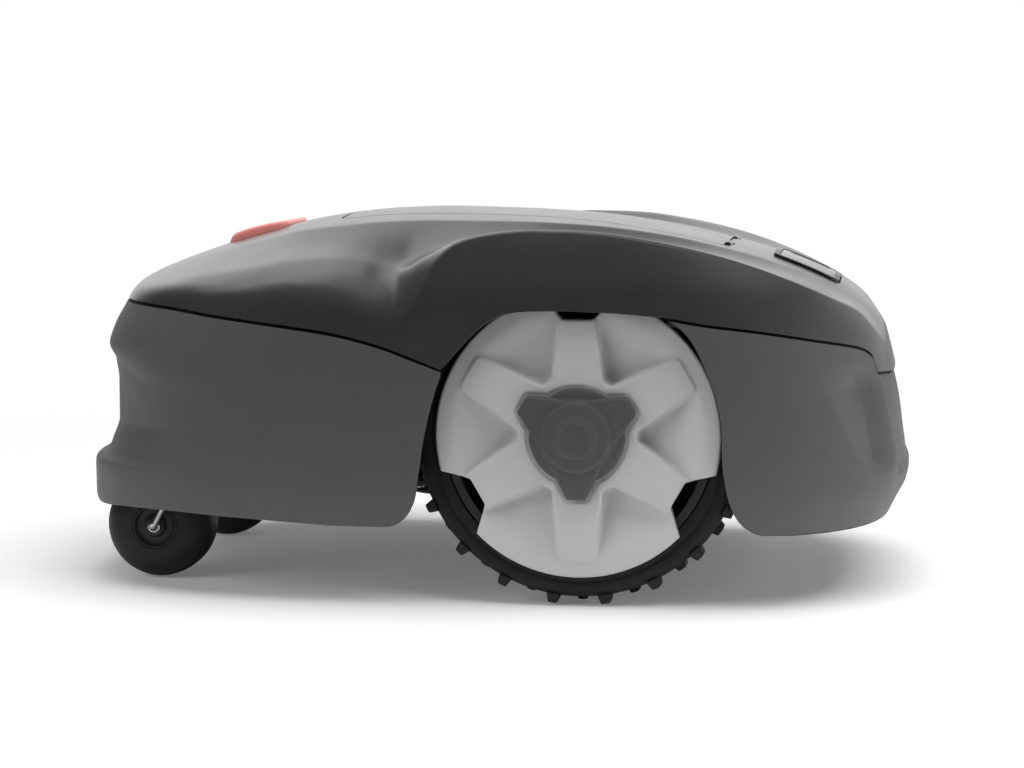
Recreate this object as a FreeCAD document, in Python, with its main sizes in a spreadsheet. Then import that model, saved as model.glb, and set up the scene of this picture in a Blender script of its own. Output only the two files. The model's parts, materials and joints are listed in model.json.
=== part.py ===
import FreeCAD, Part
import math
import os
import Sketcher
from FreeCAD import Placement, Rotation, Vector

# Robotic lawn mower, millimetres: a hollow body over a sealed chassis, two driven
# rear wheels, two front casters and a height-adjustable blade disc.
# Ground plane at Z = 0, origin under the centre of the machine. -Y is the front
# (caster end), +Y the rear, +X the mower's left flank.

os.makedirs("parts", exist_ok=True)
doc = FreeCAD.newDocument("robot_mower")
sheet = doc.addObject("Spreadsheet::Sheet", "Sizes")

# ------------------------------------------------------- driving dimensions
SIZES = {
    # body shell
    "body_half_width": 195.0, "outline_centre_y": 70.0,
    "nose_reach": 345.0, "tail_reach": 205.0, "nose_wall_reach": 333.5,
    "shell_wall": 3.0, "seam_gap": 1.0,
    # drive wheels
    "axle_y": 70.0, "axle_height": 108.5,
    "tyre_radius": 108.5, "tyre_root": 104.0, "tyre_bore": 86.0,
    "tyre_inboard": 130.0, "tyre_outboard": 175.0,
    "cleat_width": 6.4, "cleat_length": 20.0, "cleat_count": 20.0,
    "rim_hub_radius": 18.0, "shaft_radius": 5.0, "run_gap": 0.05,
    "cover_radius": 89.0, "cover_back": 176.0, "cover_face": 184.5,
    "valley_depth": 11.0, "valley_inner": 38.0, "valley_outer": 84.0,
    "cap_radius": 30.3, "cap_face_radius": 22.2, "cap_lobe_reach": 39.0,
    # casters
    "caster_pivot_x": 92.0, "caster_pivot_y": -200.0,
    "caster_trail": 20.0, "caster_radius": 35.5, "caster_half_width": 23.0,
    "leg_radius": 2.5, "leg_offset": 28.5, "leg_bridge_height": 74.6,
    "stem_top": 116.0, "bushing_radius": 8.0, "bushing_flange": 12.0,
    # chassis
    "chassis_half_width": 112.0, "chassis_front": 218.0, "chassis_rear": 205.0,
    "chassis_floor_z": 78.0, "chassis_split_z": 128.0, "chassis_top_z": 150.0,
    "chassis_wall": 3.0, "seal_thickness": 1.0, "corner_radius": 22.0,
    # cutting unit and height adjustment
    "cutter_y": -20.0, "guide_outer": 54.0, "guide_bore": 50.5,
    "sleeve_outer": 50.0, "sleeve_inner": 46.5, "carriage_radius": 46.0,
    "ledge_bore": 46.6, "lift_travel": 40.0, "knob_turn": 120.0,
    "pin_radius": 3.0, "slot_play": 0.35,
    "knob_radius": 44.0, "knob_base_z": 154.0, "knob_height": 24.0,
    "motor_radius": 33.0, "cutter_shaft_radius": 4.0,
    "disc_radius": 76.0, "disc_z": 60.0, "disc_thickness": 3.0,
    "blade_pivot_radius": 64.0, "blade_length": 38.0,
    "blade_width": 18.0, "blade_thickness": 0.8, "blade_screw_radius": 2.0,
    "skid_radius": 58.0, "skid_z": 51.0, "skid_thickness": 3.0,
    # reduction drive
    "gear_module": 0.9, "gear_teeth": 54.0, "pinion_teeth": 18.0,
    "gear_inboard": 90.0, "gear_width": 8.0,
    "gearcase_inboard": 86.0, "gearcase_outboard": 108.9,
    "pinion_shaft_radius": 2.5, "drive_motor_radius": 17.0,
    # suspension posts
    "post_x": 78.0, "post_front_y": -150.0, "post_rear_y": 180.0,
    "post_foot_radius": 9.0, "post_stem_radius": 5.0, "post_head_radius": 7.0,
    # hatch lid and stop button
    "lid_half_width": 61.0, "lid_front": -103.5, "lid_rear": 152.6,
    "lid_gap": 1.4, "hinge_y": 154.0, "hinge_pin_radius": 1.25,
    "stop_half_width": 36.0, "stop_front": -188.0, "stop_rear": -139.5, "stop_gap": 0.8,
    # console and battery
    "console_half_width": 56.0, "console_front": 50.0,
    "console_rear": 144.0, "console_top_z": 176.0, "panel_thickness": 2.0,
    "key_radius": 6.5,
    "battery_length": 92.0, "battery_half_width": 70.0, "battery_height": 40.0,
}
for row, (alias, number) in enumerate(SIZES.items(), start=1):
    sheet.set("A%d" % row, alias)
    sheet.set("B%d" % row, repr(number))
    sheet.setAlias("B%d" % row, alias)
doc.recompute()


class Driven:
    """A driving dimension: its value and the sheet expression that gives it."""

    def __init__(self, value, text):
        self.value = value
        self.text = text

    def __add__(self, other):
        return Driven(self.value + value_of(other), "(%s + %s)" % (self.text, text_of(other)))

    def __sub__(self, other):
        return Driven(self.value - value_of(other), "(%s - %s)" % (self.text, text_of(other)))

    def __rmul__(self, other):
        return Driven(value_of(other) * self.value, "(%s * %s)" % (text_of(other), self.text))

    def __truediv__(self, other):
        return Driven(self.value / value_of(other), "(%s / %s)" % (self.text, text_of(other)))

    def __neg__(self):
        return Driven(-self.value, "(0 - %s)" % self.text)


def value_of(number):
    return number.value if isinstance(number, Driven) else float(number)


def text_of(number):
    return number.text if isinstance(number, Driven) else "%.6f" % float(number)


class Numbers:
    """mm.alias: a sheet value as a plain number, for directly built shapes."""


class Drivers:
    """drive.alias: a sheet value that carries its expression into the document."""

    def __getattr__(self, alias):
        return Driven(getattr(mm, alias), "Sizes." + alias)


mm = Numbers()
for alias in SIZES:
    setattr(mm, alias, float(getattr(sheet, alias)))
drive = Drivers()


# ------------------------------------------------------------ document helpers
PARTS = []      # (label, object) of every finished piece


def finish(obj, label):
    obj.Label = label
    PARTS.append((label, obj))


def bind(obj, prop, number):
    if isinstance(number, Driven):
        obj.setExpression(prop, number.text)


def place(obj, base, rotation=None):
    obj.Placement = Placement(Vector(*[value_of(c) for c in base]), rotation or Rotation())
    for axis, coordinate in zip("xyz", base):
        bind(obj, "Placement.Base." + axis, coordinate)
    return obj


def cylinder(name, radius, height, base, along_x=False):
    obj = doc.addObject("Part::Cylinder", name)
    obj.Radius = value_of(radius)
    obj.Height = value_of(height)
    bind(obj, "Radius", radius)
    bind(obj, "Height", height)
    return place(obj, base, Rotation(Vector(0, 1, 0), 90) if along_x else None)


def fuse(name, *items):
    obj = doc.addObject("Part::MultiFuse", name)
    obj.Shapes = list(items)
    return obj


def cut(name, base, *tools):
    tool = tools[0] if len(tools) == 1 else fuse(name + "_tools", *tools)
    obj = doc.addObject("Part::Cut", name)
    obj.Base = base
    obj.Tool = tool
    return obj


def feature(name, shape, base=(0, 0, 0), rotation=None):
    obj = doc.addObject("Part::Feature", name)
    obj.Shape = shape
    return place(obj, base, rotation)


def compound_feature(name, shapes):
    return feature(name, Part.makeCompound(shapes))


# ------------------------------------------------- sketch and body helpers
# A sketch is a list of loops: a list of (x, y) corners is a polygon, a tuple
# (x, y, radius) is a circle.
def fix(sk, geo, pos, x, y):
    """Tie a sketch point to the sketch origin by its two coordinates."""
    for kind, axis, number in (("DistanceX", -2, x), ("DistanceY", -1, y)):
        value = value_of(number)
        if abs(value) < 1e-9:
            sk.addConstraint(Sketcher.Constraint("PointOnObject", geo, pos, axis))
        elif value > 0:
            i = sk.addConstraint(Sketcher.Constraint(kind, -1, 1, geo, pos, value))
            bind(sk, "Constraints[%d]" % i, number)
        else:
            i = sk.addConstraint(Sketcher.Constraint(kind, geo, pos, -1, 1, -value))
            bind(sk, "Constraints[%d]" % i, -number)


def draw_polygon(sk, corners):
    count = len(corners)
    first = sk.GeometryCount
    points = [Vector(value_of(x), value_of(y), 0) for x, y in corners]
    for i in range(count):
        sk.addGeometry(Part.LineSegment(points[i], points[(i + 1) % count]), False)
    for i in range(count):
        sk.addConstraint(Sketcher.Constraint(
            "Coincident", first + i, 2, first + (i + 1) % count, 1))
    for i, (x, y) in enumerate(corners):
        fix(sk, first + i, 1, x, y)


def draw_circle(sk, x, y, radius):
    centre = Vector(value_of(x), value_of(y), 0)
    geo = sk.addGeometry(Part.Circle(centre, Vector(0, 0, 1), value_of(radius)), False)
    fix(sk, geo, 3, x, y)
    i = sk.addConstraint(Sketcher.Constraint("Radius", geo, value_of(radius)))
    bind(sk, "Constraints[%d]" % i, radius)


def rectangle(x0, y0, x1, y1):
    return [(x0, y0), (x1, y0), (x1, y1), (x0, y1)]


def sketch(body, name, plane, loops, offset=0.0):
    sk = body.newObject("Sketcher::SketchObject", name)
    support = [o for o in body.Origin.OriginFeatures if o.Role == plane][0]
    sk.AttachmentSupport = [(support, "")]
    sk.MapMode = "FlatFace"
    if value_of(offset):
        sk.AttachmentOffset = Placement(Vector(0, 0, value_of(offset)), Rotation())
        bind(sk, "AttachmentOffset.Base.z", offset)
    for loop in loops:
        if isinstance(loop, tuple):
            draw_circle(sk, *loop)
        else:
            draw_polygon(sk, loop)
    return sk


def new_body(name, base, rotation=None):
    return place(doc.addObject("PartDesign::Body", name + "_body"), base, rotation)


def extruded(kind, body, name, loops, length, offset, plane):
    sk = sketch(body, name + "_plan", plane, loops, offset)
    obj = body.newObject("PartDesign::" + kind, name)
    obj.Profile = sk
    obj.Length = value_of(length)
    bind(obj, "Length", length)
    return obj


def pad(body, name, loops, length, offset=0.0, plane="XY_Plane"):
    return extruded("Pad", body, name, loops, length, offset, plane)


def pocket(body, name, loops, length, offset=0.0, plane="XY_Plane", forward=True):
    """Pocket that cuts along the plane's normal, or against it if not forward."""
    obj = extruded("Pocket", body, name, loops, length, offset, plane)
    obj.Reversed = forward
    return obj


def polar(body, name, original, count):
    """Repeat a feature about the normal of its own sketch."""
    obj = body.newObject("PartDesign::PolarPattern", name)
    obj.Originals = [original]
    obj.Axis = (original.Profile[0], ["N_Axis"])
    obj.Angle = 360.0
    obj.Occurrences = int(value_of(count))
    bind(obj, "Occurrences", count)
    body.Tip = obj


def turned(name, profile, base, rotation=None, along_x=False):
    """New body revolved from (radius, z) points, or (x, radius) points if along_x."""
    body = new_body(name, base, rotation)
    plane, axis = ("XY_Plane", "H_Axis") if along_x else ("XZ_Plane", "V_Axis")
    sk = sketch(body, name + "_profile", plane, [profile])
    obj = body.newObject("PartDesign::Revolution", name + "_turn")
    obj.Profile = sk
    obj.ReferenceAxis = (sk, [axis])
    obj.Angle = 360.0
    return body


def round_vertical(body, name, base, radius):
    """Fillet the upright corner edges of a padded feature."""
    doc.recompute()
    names = []
    for i, edge in enumerate(base.Shape.Edges, start=1):
        if len(edge.Vertexes) == 2:
            start, end = edge.Vertexes[0].Point, edge.Vertexes[1].Point
            if abs(start.x - end.x) < 1e-6 and abs(start.y - end.y) < 1e-6:
                names.append("Edge%d" % i)
    obj = body.newObject("PartDesign::Fillet", name)
    obj.Base = (base, names)
    obj.Radius = radius


# --------------------------------------------------------------- shape helpers
X_AXIS = Vector(1, 0, 0)
Z_AXIS = Vector(0, 0, 1)


def x_rod(radius, x, length, y=0.0, z=0.0):
    return Part.makeCylinder(radius, length, Vector(x, y, z), X_AXIS)


def prism(half_width, front, rear, radius, bottom, top, centre_x=0.0):
    """Upright block with rounded corners."""
    block = Part.makeBox(2 * half_width, rear - front, top - bottom,
                         Vector(centre_x - half_width, front, bottom))
    upright = [e for e in block.Edges if abs(e.Vertexes[0].Z - e.Vertexes[1].Z) > 1]
    return block.makeFillet(radius, upright)


def face_of(points):
    return Part.Face(Part.makePolygon(points + [points[0]]))


def ring_of(shape, count, axis, start=0.0):
    """Evenly spaced copies turned about an axis through the origin."""
    copies = []
    for k in range(count):
        copy = shape.copy()
        copy.rotate(Vector(0, 0, 0), axis, start + 360.0 / count * k)
        copies.append(copy)
    return copies


def lowered(solid, drop):
    copy = solid.copy()
    copy.translate(Vector(0, 0, -drop))
    return copy


def largest(shape):
    return max(shape.Solids, key=lambda s: s.Volume).removeSplitter()


# --------------------------------------------------------------- body surfaces
def curve(table):
    """Smooth monotone-limited interpolation through (position, value) pairs."""
    xs = [x for x, y in table]
    ys = [y for x, y in table]
    count = len(xs)
    step = [xs[i + 1] - xs[i] for i in range(count - 1)]
    rise = [(ys[i + 1] - ys[i]) / step[i] for i in range(count - 1)]
    slope = [rise[0]] + [0.0] * (count - 2) + [rise[-1]]
    for i in range(1, count - 1):
        if rise[i - 1] * rise[i] > 0:
            before = 2 * step[i] + step[i - 1]
            after = step[i] + 2 * step[i - 1]
            slope[i] = (before + after) / (before / rise[i - 1] + after / rise[i])

    def at(x):
        if x <= xs[0]:
            return ys[0] + slope[0] * (x - xs[0])
        if x >= xs[-1]:
            return ys[-1] + slope[-1] * (x - xs[-1])
        i = 0
        while x > xs[i + 1]:
            i += 1
        t = (x - xs[i]) / step[i]
        return (ys[i] * (1 + 2 * t) * (1 - t) ** 2
                + step[i] * slope[i] * t * (1 - t) ** 2
                + ys[i + 1] * t * t * (3 - 2 * t)
                + step[i] * slope[i + 1] * t * t * (t - 1))
    return at


def inset_curve(full, table):
    """Curve through (z, inset from the full reach) pairs."""
    return curve([(z, full - inset) for z, inset in table])


HALF_WIDTH = mm.body_half_width
NOSE = mm.nose_wall_reach
TAIL = mm.tail_reach
WALL = mm.shell_wall
# superellipse powers of the plan outline
NOSE_POWER, TAIL_POWER, SIDE_POWER = 4.3, 3.2, 3.0

half_width_at = inset_curve(HALF_WIDTH, [
    (40, 4.5), (60, 2.2), (80, 0.8), (110, 0), (140, 0), (162, 0.7), (175, 1.5),
    (186, 2.6), (197, 4.8), (216, 12.8), (228, 19.0), (237, 25.0), (252, 37.0)])
nose_at = inset_curve(NOSE, [
    (40, 2.5), (60, 0.5), (85, 0), (140, 0), (156, 0.8), (172, 6.0), (183, 12.0),
    (190, 15.5), (200, 22), (216, 34), (237, 54), (252, 72)])
tail_at = inset_curve(TAIL, [
    (40, 15.5), (47, 12), (58, 6.5), (68, 1.5), (77, 0), (96, 2.2), (118, 5.3),
    (139, 10.2), (161, 16), (172, 19.4), (183, 25.5), (197, 36), (216, 58),
    (237, 88), (252, 112)])


def unit_outline(steps, samples=3000):
    """Half outline from nose to tail as (x share, y share), evenly spaced."""
    fine = []
    for i in range(samples + 1):
        t = math.pi * 0.5 * i / samples
        fine.append((math.sin(t) ** (2 / SIDE_POWER), -math.cos(t) ** (2 / NOSE_POWER)))
    for i in range(1, samples + 1):
        t = math.pi * 0.5 * i / samples
        fine.append((max(0.0, math.cos(t)) ** (2 / SIDE_POWER),
                     math.sin(t) ** (2 / TAIL_POWER)))
    real = [(x * HALF_WIDTH, y * (NOSE if y < 0 else TAIL)) for x, y in fine]
    run = [0.0]     # distance travelled along the outline
    for (x0, y0), (x1, y1) in zip(real, real[1:]):
        run.append(run[-1] + math.hypot(x1 - x0, y1 - y0))
    even, j = [], 0
    for i in range(steps + 1):
        want = run[-1] * i / steps
        while j < len(run) - 2 and run[j + 1] < want:
            j += 1
        share = (want - run[j]) / (run[j + 1] - run[j])
        even.append((fine[j][0] + share * (fine[j + 1][0] - fine[j][0]),
                     fine[j][1] + share * (fine[j + 1][1] - fine[j][1])))
    even[0] = (0.0, -1.0)
    even[-1] = (0.0, 1.0)
    return even


HALF_OUTLINE = unit_outline(17)
OUTLINE = HALF_OUTLINE + [(-x, y) for x, y in reversed(HALF_OUTLINE[1:-1])]


def outline_wire(z, half, nose, tail):
    points = [Vector(x * half, mm.outline_centre_y + y * (nose if y < 0 else tail), z)
              for x, y in OUTLINE]
    spline = Part.BSplineCurve()
    spline.interpolate(Points=points, PeriodicFlag=True)
    return Part.Wire([spline.toShape()])


def wall_solid(levels, inset, nose=nose_at):
    """Ruled body wall through the plan outline at each level."""
    wires = [outline_wire(z, half_width_at(z) - inset, nose(z) - inset, tail_at(z) - inset)
             for z in levels]
    return Part.makeLoft(wires, True, True)


# Top surface, all against Y: height of the centre line
crown = curve([
    (-290, 120), (-268, 155), (-256, 178), (-248, 191), (-240, 199.5), (-220, 209),
    (-200, 216.3), (-175, 224.6), (-150, 231.5), (-125, 237.2), (-100, 241),
    (-75, 243.3), (-41, 244.5), (-2, 243.6), (27, 242.3), (63, 239.4), (91, 235.4),
    (118, 230.2), (145, 224.6), (173, 218.2), (189, 213.8), (208, 206.8),
    (227, 197.8), (237, 190.5), (247, 182), (256, 170), (268, 145), (290, 90)])
# half spacing and height of the creases beside the crown
crease_x = curve([
    (-250, 72), (-200, 80), (-150, 86), (-126, 88), (-98, 92), (-72, 95), (28, 95),
    (73, 88), (99, 83), (138, 76), (176, 69), (202, 63), (228, 57), (260, 50)])
crease_z = curve([
    (-290, 110), (-268, 148), (-256, 172), (-248, 186), (-240, 195), (-220, 204),
    (-200, 210.5), (-175, 218), (-150, 224.8), (-126, 230.9), (-98, 234.6),
    (-72, 237), (-37, 238.2), (-4, 238.3), (28, 238.0), (54, 236.8), (73, 235.4),
    (99, 232.2), (125, 227.8), (150, 222), (176, 214.9), (202, 205.4),
    (228, 193.6), (240, 185.5), (250, 174), (262, 152), (290, 80)])
# half spacing and height of the fender crest (rear) and soft shoulder (front)
rim_x = curve([
    (-250, 120), (-211, 133), (-186, 145), (-164, 152), (-144, 156), (-117, 160),
    (-90, 163), (-60, 165), (-40, 168), (0, 171), (150, 169), (190, 162),
    (215, 150), (235, 133), (255, 110)])
rim_z = curve([
    (-290, 100), (-262, 150), (-250, 175), (-238, 187), (-225, 193), (-211, 197.5),
    (-186, 202.5), (-164, 205.5), (-144, 209), (-117, 213.5), (-90, 214.5),
    (-69, 212.5), (-57, 209.5), (-48, 208.5), (-40, 211.5), (-31, 217.3),
    (-24.7, 220.7), (-18.3, 224.3), (-12, 227.4), (-5.6, 230), (7, 233.1),
    (20, 235.1), (38.6, 236.6), (57.5, 236.4), (82, 235), (107, 231.4),
    (132, 226.6), (157, 220.6), (182, 212.7), (206, 203.1), (225, 193.6),
    (240, 184), (252, 168), (265, 142), (290, 80)])
# how far the valley between crease and fender drops below the straight line
valley_drop = curve([
    (-290, 0), (-200, 0), (-120, 1.0), (-90, 1.5), (-60, 3.5), (-35, 8.0), (0, 8.5),
    (60, 8.5), (110, 7.5), (160, 6.0), (200, 4.5), (228, 2.5), (250, 0), (290, 0)])
# how far the outer edge falls, and how wide the falling band is
edge_fall = curve([
    (-290, 60), (-60, 60), (-30, 36), (-8, 10), (10, 7), (190, 7), (215, 14),
    (232, 30), (250, 50), (290, 60)])
edge_reach = curve([
    (-290, 42), (-60, 40), (-30, 36), (0, 30), (190, 30), (230, 36), (290, 40)])


def side_at(y):
    """Half width of the top surface at y."""
    centre = mm.outline_centre_y
    share = (y - centre) / (NOSE + 6 if y < centre else TAIL + 4)
    power = NOSE_POWER if y < centre else TAIL_POWER
    return HALF_WIDTH * max(0.0, 1 - min(1.0, abs(share)) ** power) ** (1 / SIDE_POWER)


def top_z(x, y):
    x = abs(x)
    side = max(side_at(y), 60.0)
    shoulder_x = min(rim_x(y), side - 12)
    fold_x = min(crease_x(y), shoulder_x * 0.62)
    fold_z = crease_z(y)
    if x <= fold_x:
        z = crown(y) - (crown(y) - fold_z) * (x / fold_x) ** 2
    else:
        t = (x - fold_x) / (shoulder_x - fold_x)
        line = fold_z + (rim_z(y) - fold_z) * t
        held = min(max(t, 0.0), 1.0)
        z = line - valley_drop(y) * (math.sin(math.pi * held ** 0.85)) ** 1.2
    reach = edge_reach(y)
    start = side - reach
    if x > start:
        z -= edge_fall(y) * min(1.6, (x - start) / reach) ** 2.4
    return z


def top_solid():
    """Everything from the top surface down to well below the shell."""
    xs = [-208 + 13.0 * i for i in range(33)]
    ys = [-288 + 12.0 * i for i in range(49)]
    surface = Part.BSplineSurface()
    surface.interpolate([[Vector(x, y, top_z(x, y)) for y in ys] for x in xs])
    return surface.toShape().extrude(Vector(0, 0, -190))


def side_prism(runs, reach=230.0):
    """Prism across the machine from runs of (y, z) points, one smooth edge each."""
    edges = []
    for run in runs:
        points = [Vector(0, y, z) for y, z in run]
        if len(points) == 2:
            edges.append(Part.makeLine(points[0], points[1]))
        else:
            spline = Part.BSplineCurve()
            spline.interpolate(points)
            edges.append(spline.toShape())
    face = Part.Face(Part.Wire(edges))
    face.translate(Vector(-reach, 0, 0))
    return face.extrude(Vector(2 * reach, 0, 0))


def shifted(points, rise):
    return [(y, z + rise) for y, z in points]


# Seams between hood and skirts as (y, z); +-300 lies clear of the body.
SEAM_FRONT = [
    (-300, 185), (-260, 185), (-228, 185), (-203, 184.2), (-160, 179.7), (-126, 176),
    (-86, 170.9), (-54, 163.2), (-32, 155), (-18.5, 150.0)]
ARCH_TOP = [
    (-18.5, 150.0), (-5.4, 165.3), (4.1, 174.7), (12.5, 180.9), (24, 184.9),
    (41.6, 186.4), (60.3, 186.6), (80, 186.2), (100, 185.2), (125.4, 182.6)]
SEAM_REAR = [
    (125.4, 182.6), (146, 178.9), (183, 173.8), (219, 166.9), (237, 162.4),
    (245, 159.2), (250.2, 154.4), (253, 147)]
SEAM_TAIL = [(253, 147), (253.4, 137)]
SEAM_EXIT = [(253.4, 137), (300, 137)]
GAP = mm.seam_gap / 2

hood_zone = side_prism(
    [shifted(run, GAP) for run in (SEAM_FRONT, ARCH_TOP, SEAM_REAR, SEAM_TAIL, SEAM_EXIT)]
    + [[(300, 137 + GAP), (300, 300)],
       [(300, 300), (-300, 300)],
       [(-300, 300), (-300, 185 + GAP)]])
front_zone = side_prism([
    shifted(SEAM_FRONT, -GAP),
    # front edge of the wheel arch, then the lower edge
    [(-18.5, 150.0 - GAP), (-21.5, 135), (-24.6, 120), (-26.9, 104.7), (-28.9, 85),
     (-31.0, 68.6)],
    [(-31.0, 68.6), (-33.2, 62.5), (-37.5, 55.8), (-43.6, 51.4), (-51.4, 49.8)],
    [(-51.4, 49.8), (-80, 49.8), (-106, 50.9), (-158, 53.0), (-197, 54.2),
     (-228, 53.6), (-247, 51.6), (-265, 50.4), (-300, 50)],
    [(-300, 50), (-300, 185 - GAP)],
])
rear_zone = side_prism(
    [shifted(run, -GAP) for run in (SEAM_REAR, SEAM_TAIL, SEAM_EXIT)]
    + [[(300, 137 - GAP), (300, 46.5)],
       [(300, 46.5), (204, 46.5)],
       [(204, 46.5), (188, 46.9), (179.4, 49.5), (172, 55.3), (167, 64)],
       # rear edge of the wheel arch
       [(167, 64), (162.8, 80), (161, 96), (160.7, 112), (158, 130.5),
        (150.8, 150.5), (141.3, 169.0), (133.5, 177.5), (125.4, 182.6 - GAP)]])

# heights of the loft sections
HOOD_LEVELS = [125, 150, 165, 178, 190, 203, 218, 237, 255]
REAR_LEVELS = [38, 52, 66, 77, 108, 140, 166, 190]
# (z, nose reach) of the front skirt; its low lip stands proud of the wall
LIP = mm.nose_reach
FRONT_NOSE = {
    44: LIP - 4.5, 52: LIP - 0.6, 60: LIP, 77: LIP, 83: LIP - 2.0, 87.5: NOSE + 0.4,
    110: NOSE, 146: NOSE, 158: NOSE - 1.0, 171: NOSE - 5.4, 182: NOSE - 11.5,
    190: NOSE - 15.5}

wall_outer = wall_solid(HOOD_LEVELS, 0.0)
wall_inner = wall_solid(HOOD_LEVELS, WALL)
top_outer = top_solid()
top_inner = lowered(top_outer, WALL)

# ---------------------------------------------------------------- body pieces
POST_SPOTS = [(side * mm.post_x, y) for side in (1, -1)
              for y in (mm.post_front_y, mm.post_rear_y)]
OPENING_LOW, OPENING_HIGH = 150, 300    # z span of cutters through the top
COLLAR = 2.5            # extra shell material around the lid and button openings
LID_CORNER = 9
LID_REAR_GAP = 2.6

HINGE_Z = top_z(35, mm.hinge_y) - 1.2
KNUCKLE_RADIUS = 2.7
KNUCKLE_PLAY = 0.5
HOOD_KNUCKLES = (-50, 42)       # left ends in x
HOOD_KNUCKLE_LENGTH = 8
LID_KNUCKLES = (-41, 29)
LID_KNUCKLE_LENGTH = 12

# badge recess in the hood, and the plate window inside its surround
BADGE_HALF, BADGE_FRONT, BADGE_REAR, BADGE_CORNER = 42, 187, 231, 8
PLATE_HALF, PLATE_FRONT, PLATE_REAR, PLATE_CORNER = 37, 191, 227.5, 5
BADGE_PLAY, PLATE_PLAY = 0.2, 0.1
badge_floor = lowered(top_outer, 1.4)

CONTACTS = [Part.makeBox(12, 3.0, 30, Vector(x, -264.7, 96)) for x in (14, -26)]


def hinge_rod(radius, x, length):
    return x_rod(radius, x, length, mm.hinge_y, HINGE_Z)


def post_cylinders(radius, height, z):
    return Part.makeCompound([Part.makeCylinder(radius, height, Vector(x, y, z))
                              for x, y in POST_SPOTS])


def make_hood():
    lid_half = mm.lid_half_width + mm.lid_gap
    lid_front = mm.lid_front - mm.lid_gap
    lid_rear = mm.lid_rear + LID_REAR_GAP
    stop_half = mm.stop_half_width + mm.stop_gap
    stop_front = mm.stop_front - mm.stop_gap
    stop_rear = mm.stop_rear + mm.stop_gap
    bosses = post_cylinders(mm.post_head_radius + 3.5, 90, 176)
    bores = post_cylinders(mm.post_head_radius + mm.run_gap, 60, 140)
    lid_hole = prism(lid_half, lid_front, lid_rear, LID_CORNER + mm.lid_gap,
                     OPENING_LOW, OPENING_HIGH)
    stop_hole = prism(stop_half, stop_front, stop_rear, 7, OPENING_LOW, OPENING_HIGH)
    lid_gutter = prism(lid_half + COLLAR, lid_front - COLLAR, lid_rear + COLLAR,
                       11, 211, OPENING_HIGH)
    stop_collar = prism(stop_half + COLLAR, stop_front - COLLAR, stop_rear + COLLAR,
                        9, 202, OPENING_HIGH)

    shell_outer = wall_outer.common(top_outer)
    shell_inner = wall_inner.common(top_inner)
    # bosses and collars stay solid because they are kept out of the hollow
    hollow = shell_inner.cut([bosses, lid_gutter, stop_collar])
    shell = shell_outer.cut(hollow)

    knuckles = [
        hinge_rod(KNUCKLE_RADIUS, x, HOOD_KNUCKLE_LENGTH).fuse(
            Part.makeBox(HOOD_KNUCKLE_LENGTH, 7, 5, Vector(x, mm.hinge_y, HINGE_Z - 4.5)))
        for x in HOOD_KNUCKLES]
    notches = [Part.makeBox(LID_KNUCKLE_LENGTH + 2 * KNUCKLE_PLAY, 6.4, 40,
                            Vector(x - KNUCKLE_PLAY, mm.lid_rear - 1, 200))
               for x in LID_KNUCKLES]
    badge_seat = prism(BADGE_HALF, BADGE_FRONT, BADGE_REAR, BADGE_CORNER,
                       OPENING_LOW, OPENING_HIGH).cut(badge_floor)
    hood = shell.common(hood_zone)
    hood = hood.cut([lid_hole, stop_hole, badge_seat] + notches)
    hood = hood.fuse(knuckles).cut([hinge_rod(mm.hinge_pin_radius, -52, 104), bores])
    finish(feature("hood_shell", largest(hood)), "upper_hood")


def make_lid():
    lid = prism(mm.lid_half_width, mm.lid_front, mm.lid_rear, LID_CORNER,
                OPENING_LOW, OPENING_HIGH)
    lid = lid.common(top_outer).cut(top_inner)
    knuckles = [
        hinge_rod(KNUCKLE_RADIUS, x, LID_KNUCKLE_LENGTH).fuse(
            Part.makeBox(LID_KNUCKLE_LENGTH, 4.4, 2.4,
                         Vector(x, mm.hinge_y - 4.0, HINGE_Z - 1.6)))
        for x in LID_KNUCKLES]
    # round clearances for the hood's own knuckles, and the hinge bore
    clearances = [hinge_rod(KNUCKLE_RADIUS + 0.4, x - KNUCKLE_PLAY,
                            HOOD_KNUCKLE_LENGTH + 2 * KNUCKLE_PLAY)
                  for x in HOOD_KNUCKLES]
    bore = hinge_rod(mm.hinge_pin_radius + mm.run_gap, -52, 104)
    lid = lid.fuse(knuckles).cut(clearances + [bore])
    finish(feature("hatch_shell", largest(lid)), "hatch_lid")


def make_hinge_pin():
    finish(cylinder("hinge_wire", drive.hinge_pin_radius, 100.0,
                    (-50, drive.hinge_y, HINGE_Z), along_x=True), "hatch_hinge_pin")


def make_front_skirt():
    levels = list(FRONT_NOSE)
    skirt = wall_solid(levels, 0.0, FRONT_NOSE.get).common(front_zone)
    skirt = skirt.cut(wall_solid(levels, WALL, FRONT_NOSE.get)).cut(CONTACTS)
    finish(feature("front_skirt_shell", largest(skirt)), "front_skirt")


def make_rear_skirt():
    skirt = wall_solid(REAR_LEVELS, 0.0).common(rear_zone)
    skirt = skirt.cut(wall_solid(REAR_LEVELS, WALL))
    finish(feature("rear_skirt_shell", largest(skirt)), "rear_skirt")


def make_contacts():
    finish(compound_feature("charge_strips", CONTACTS), "charge_contacts")


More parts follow.
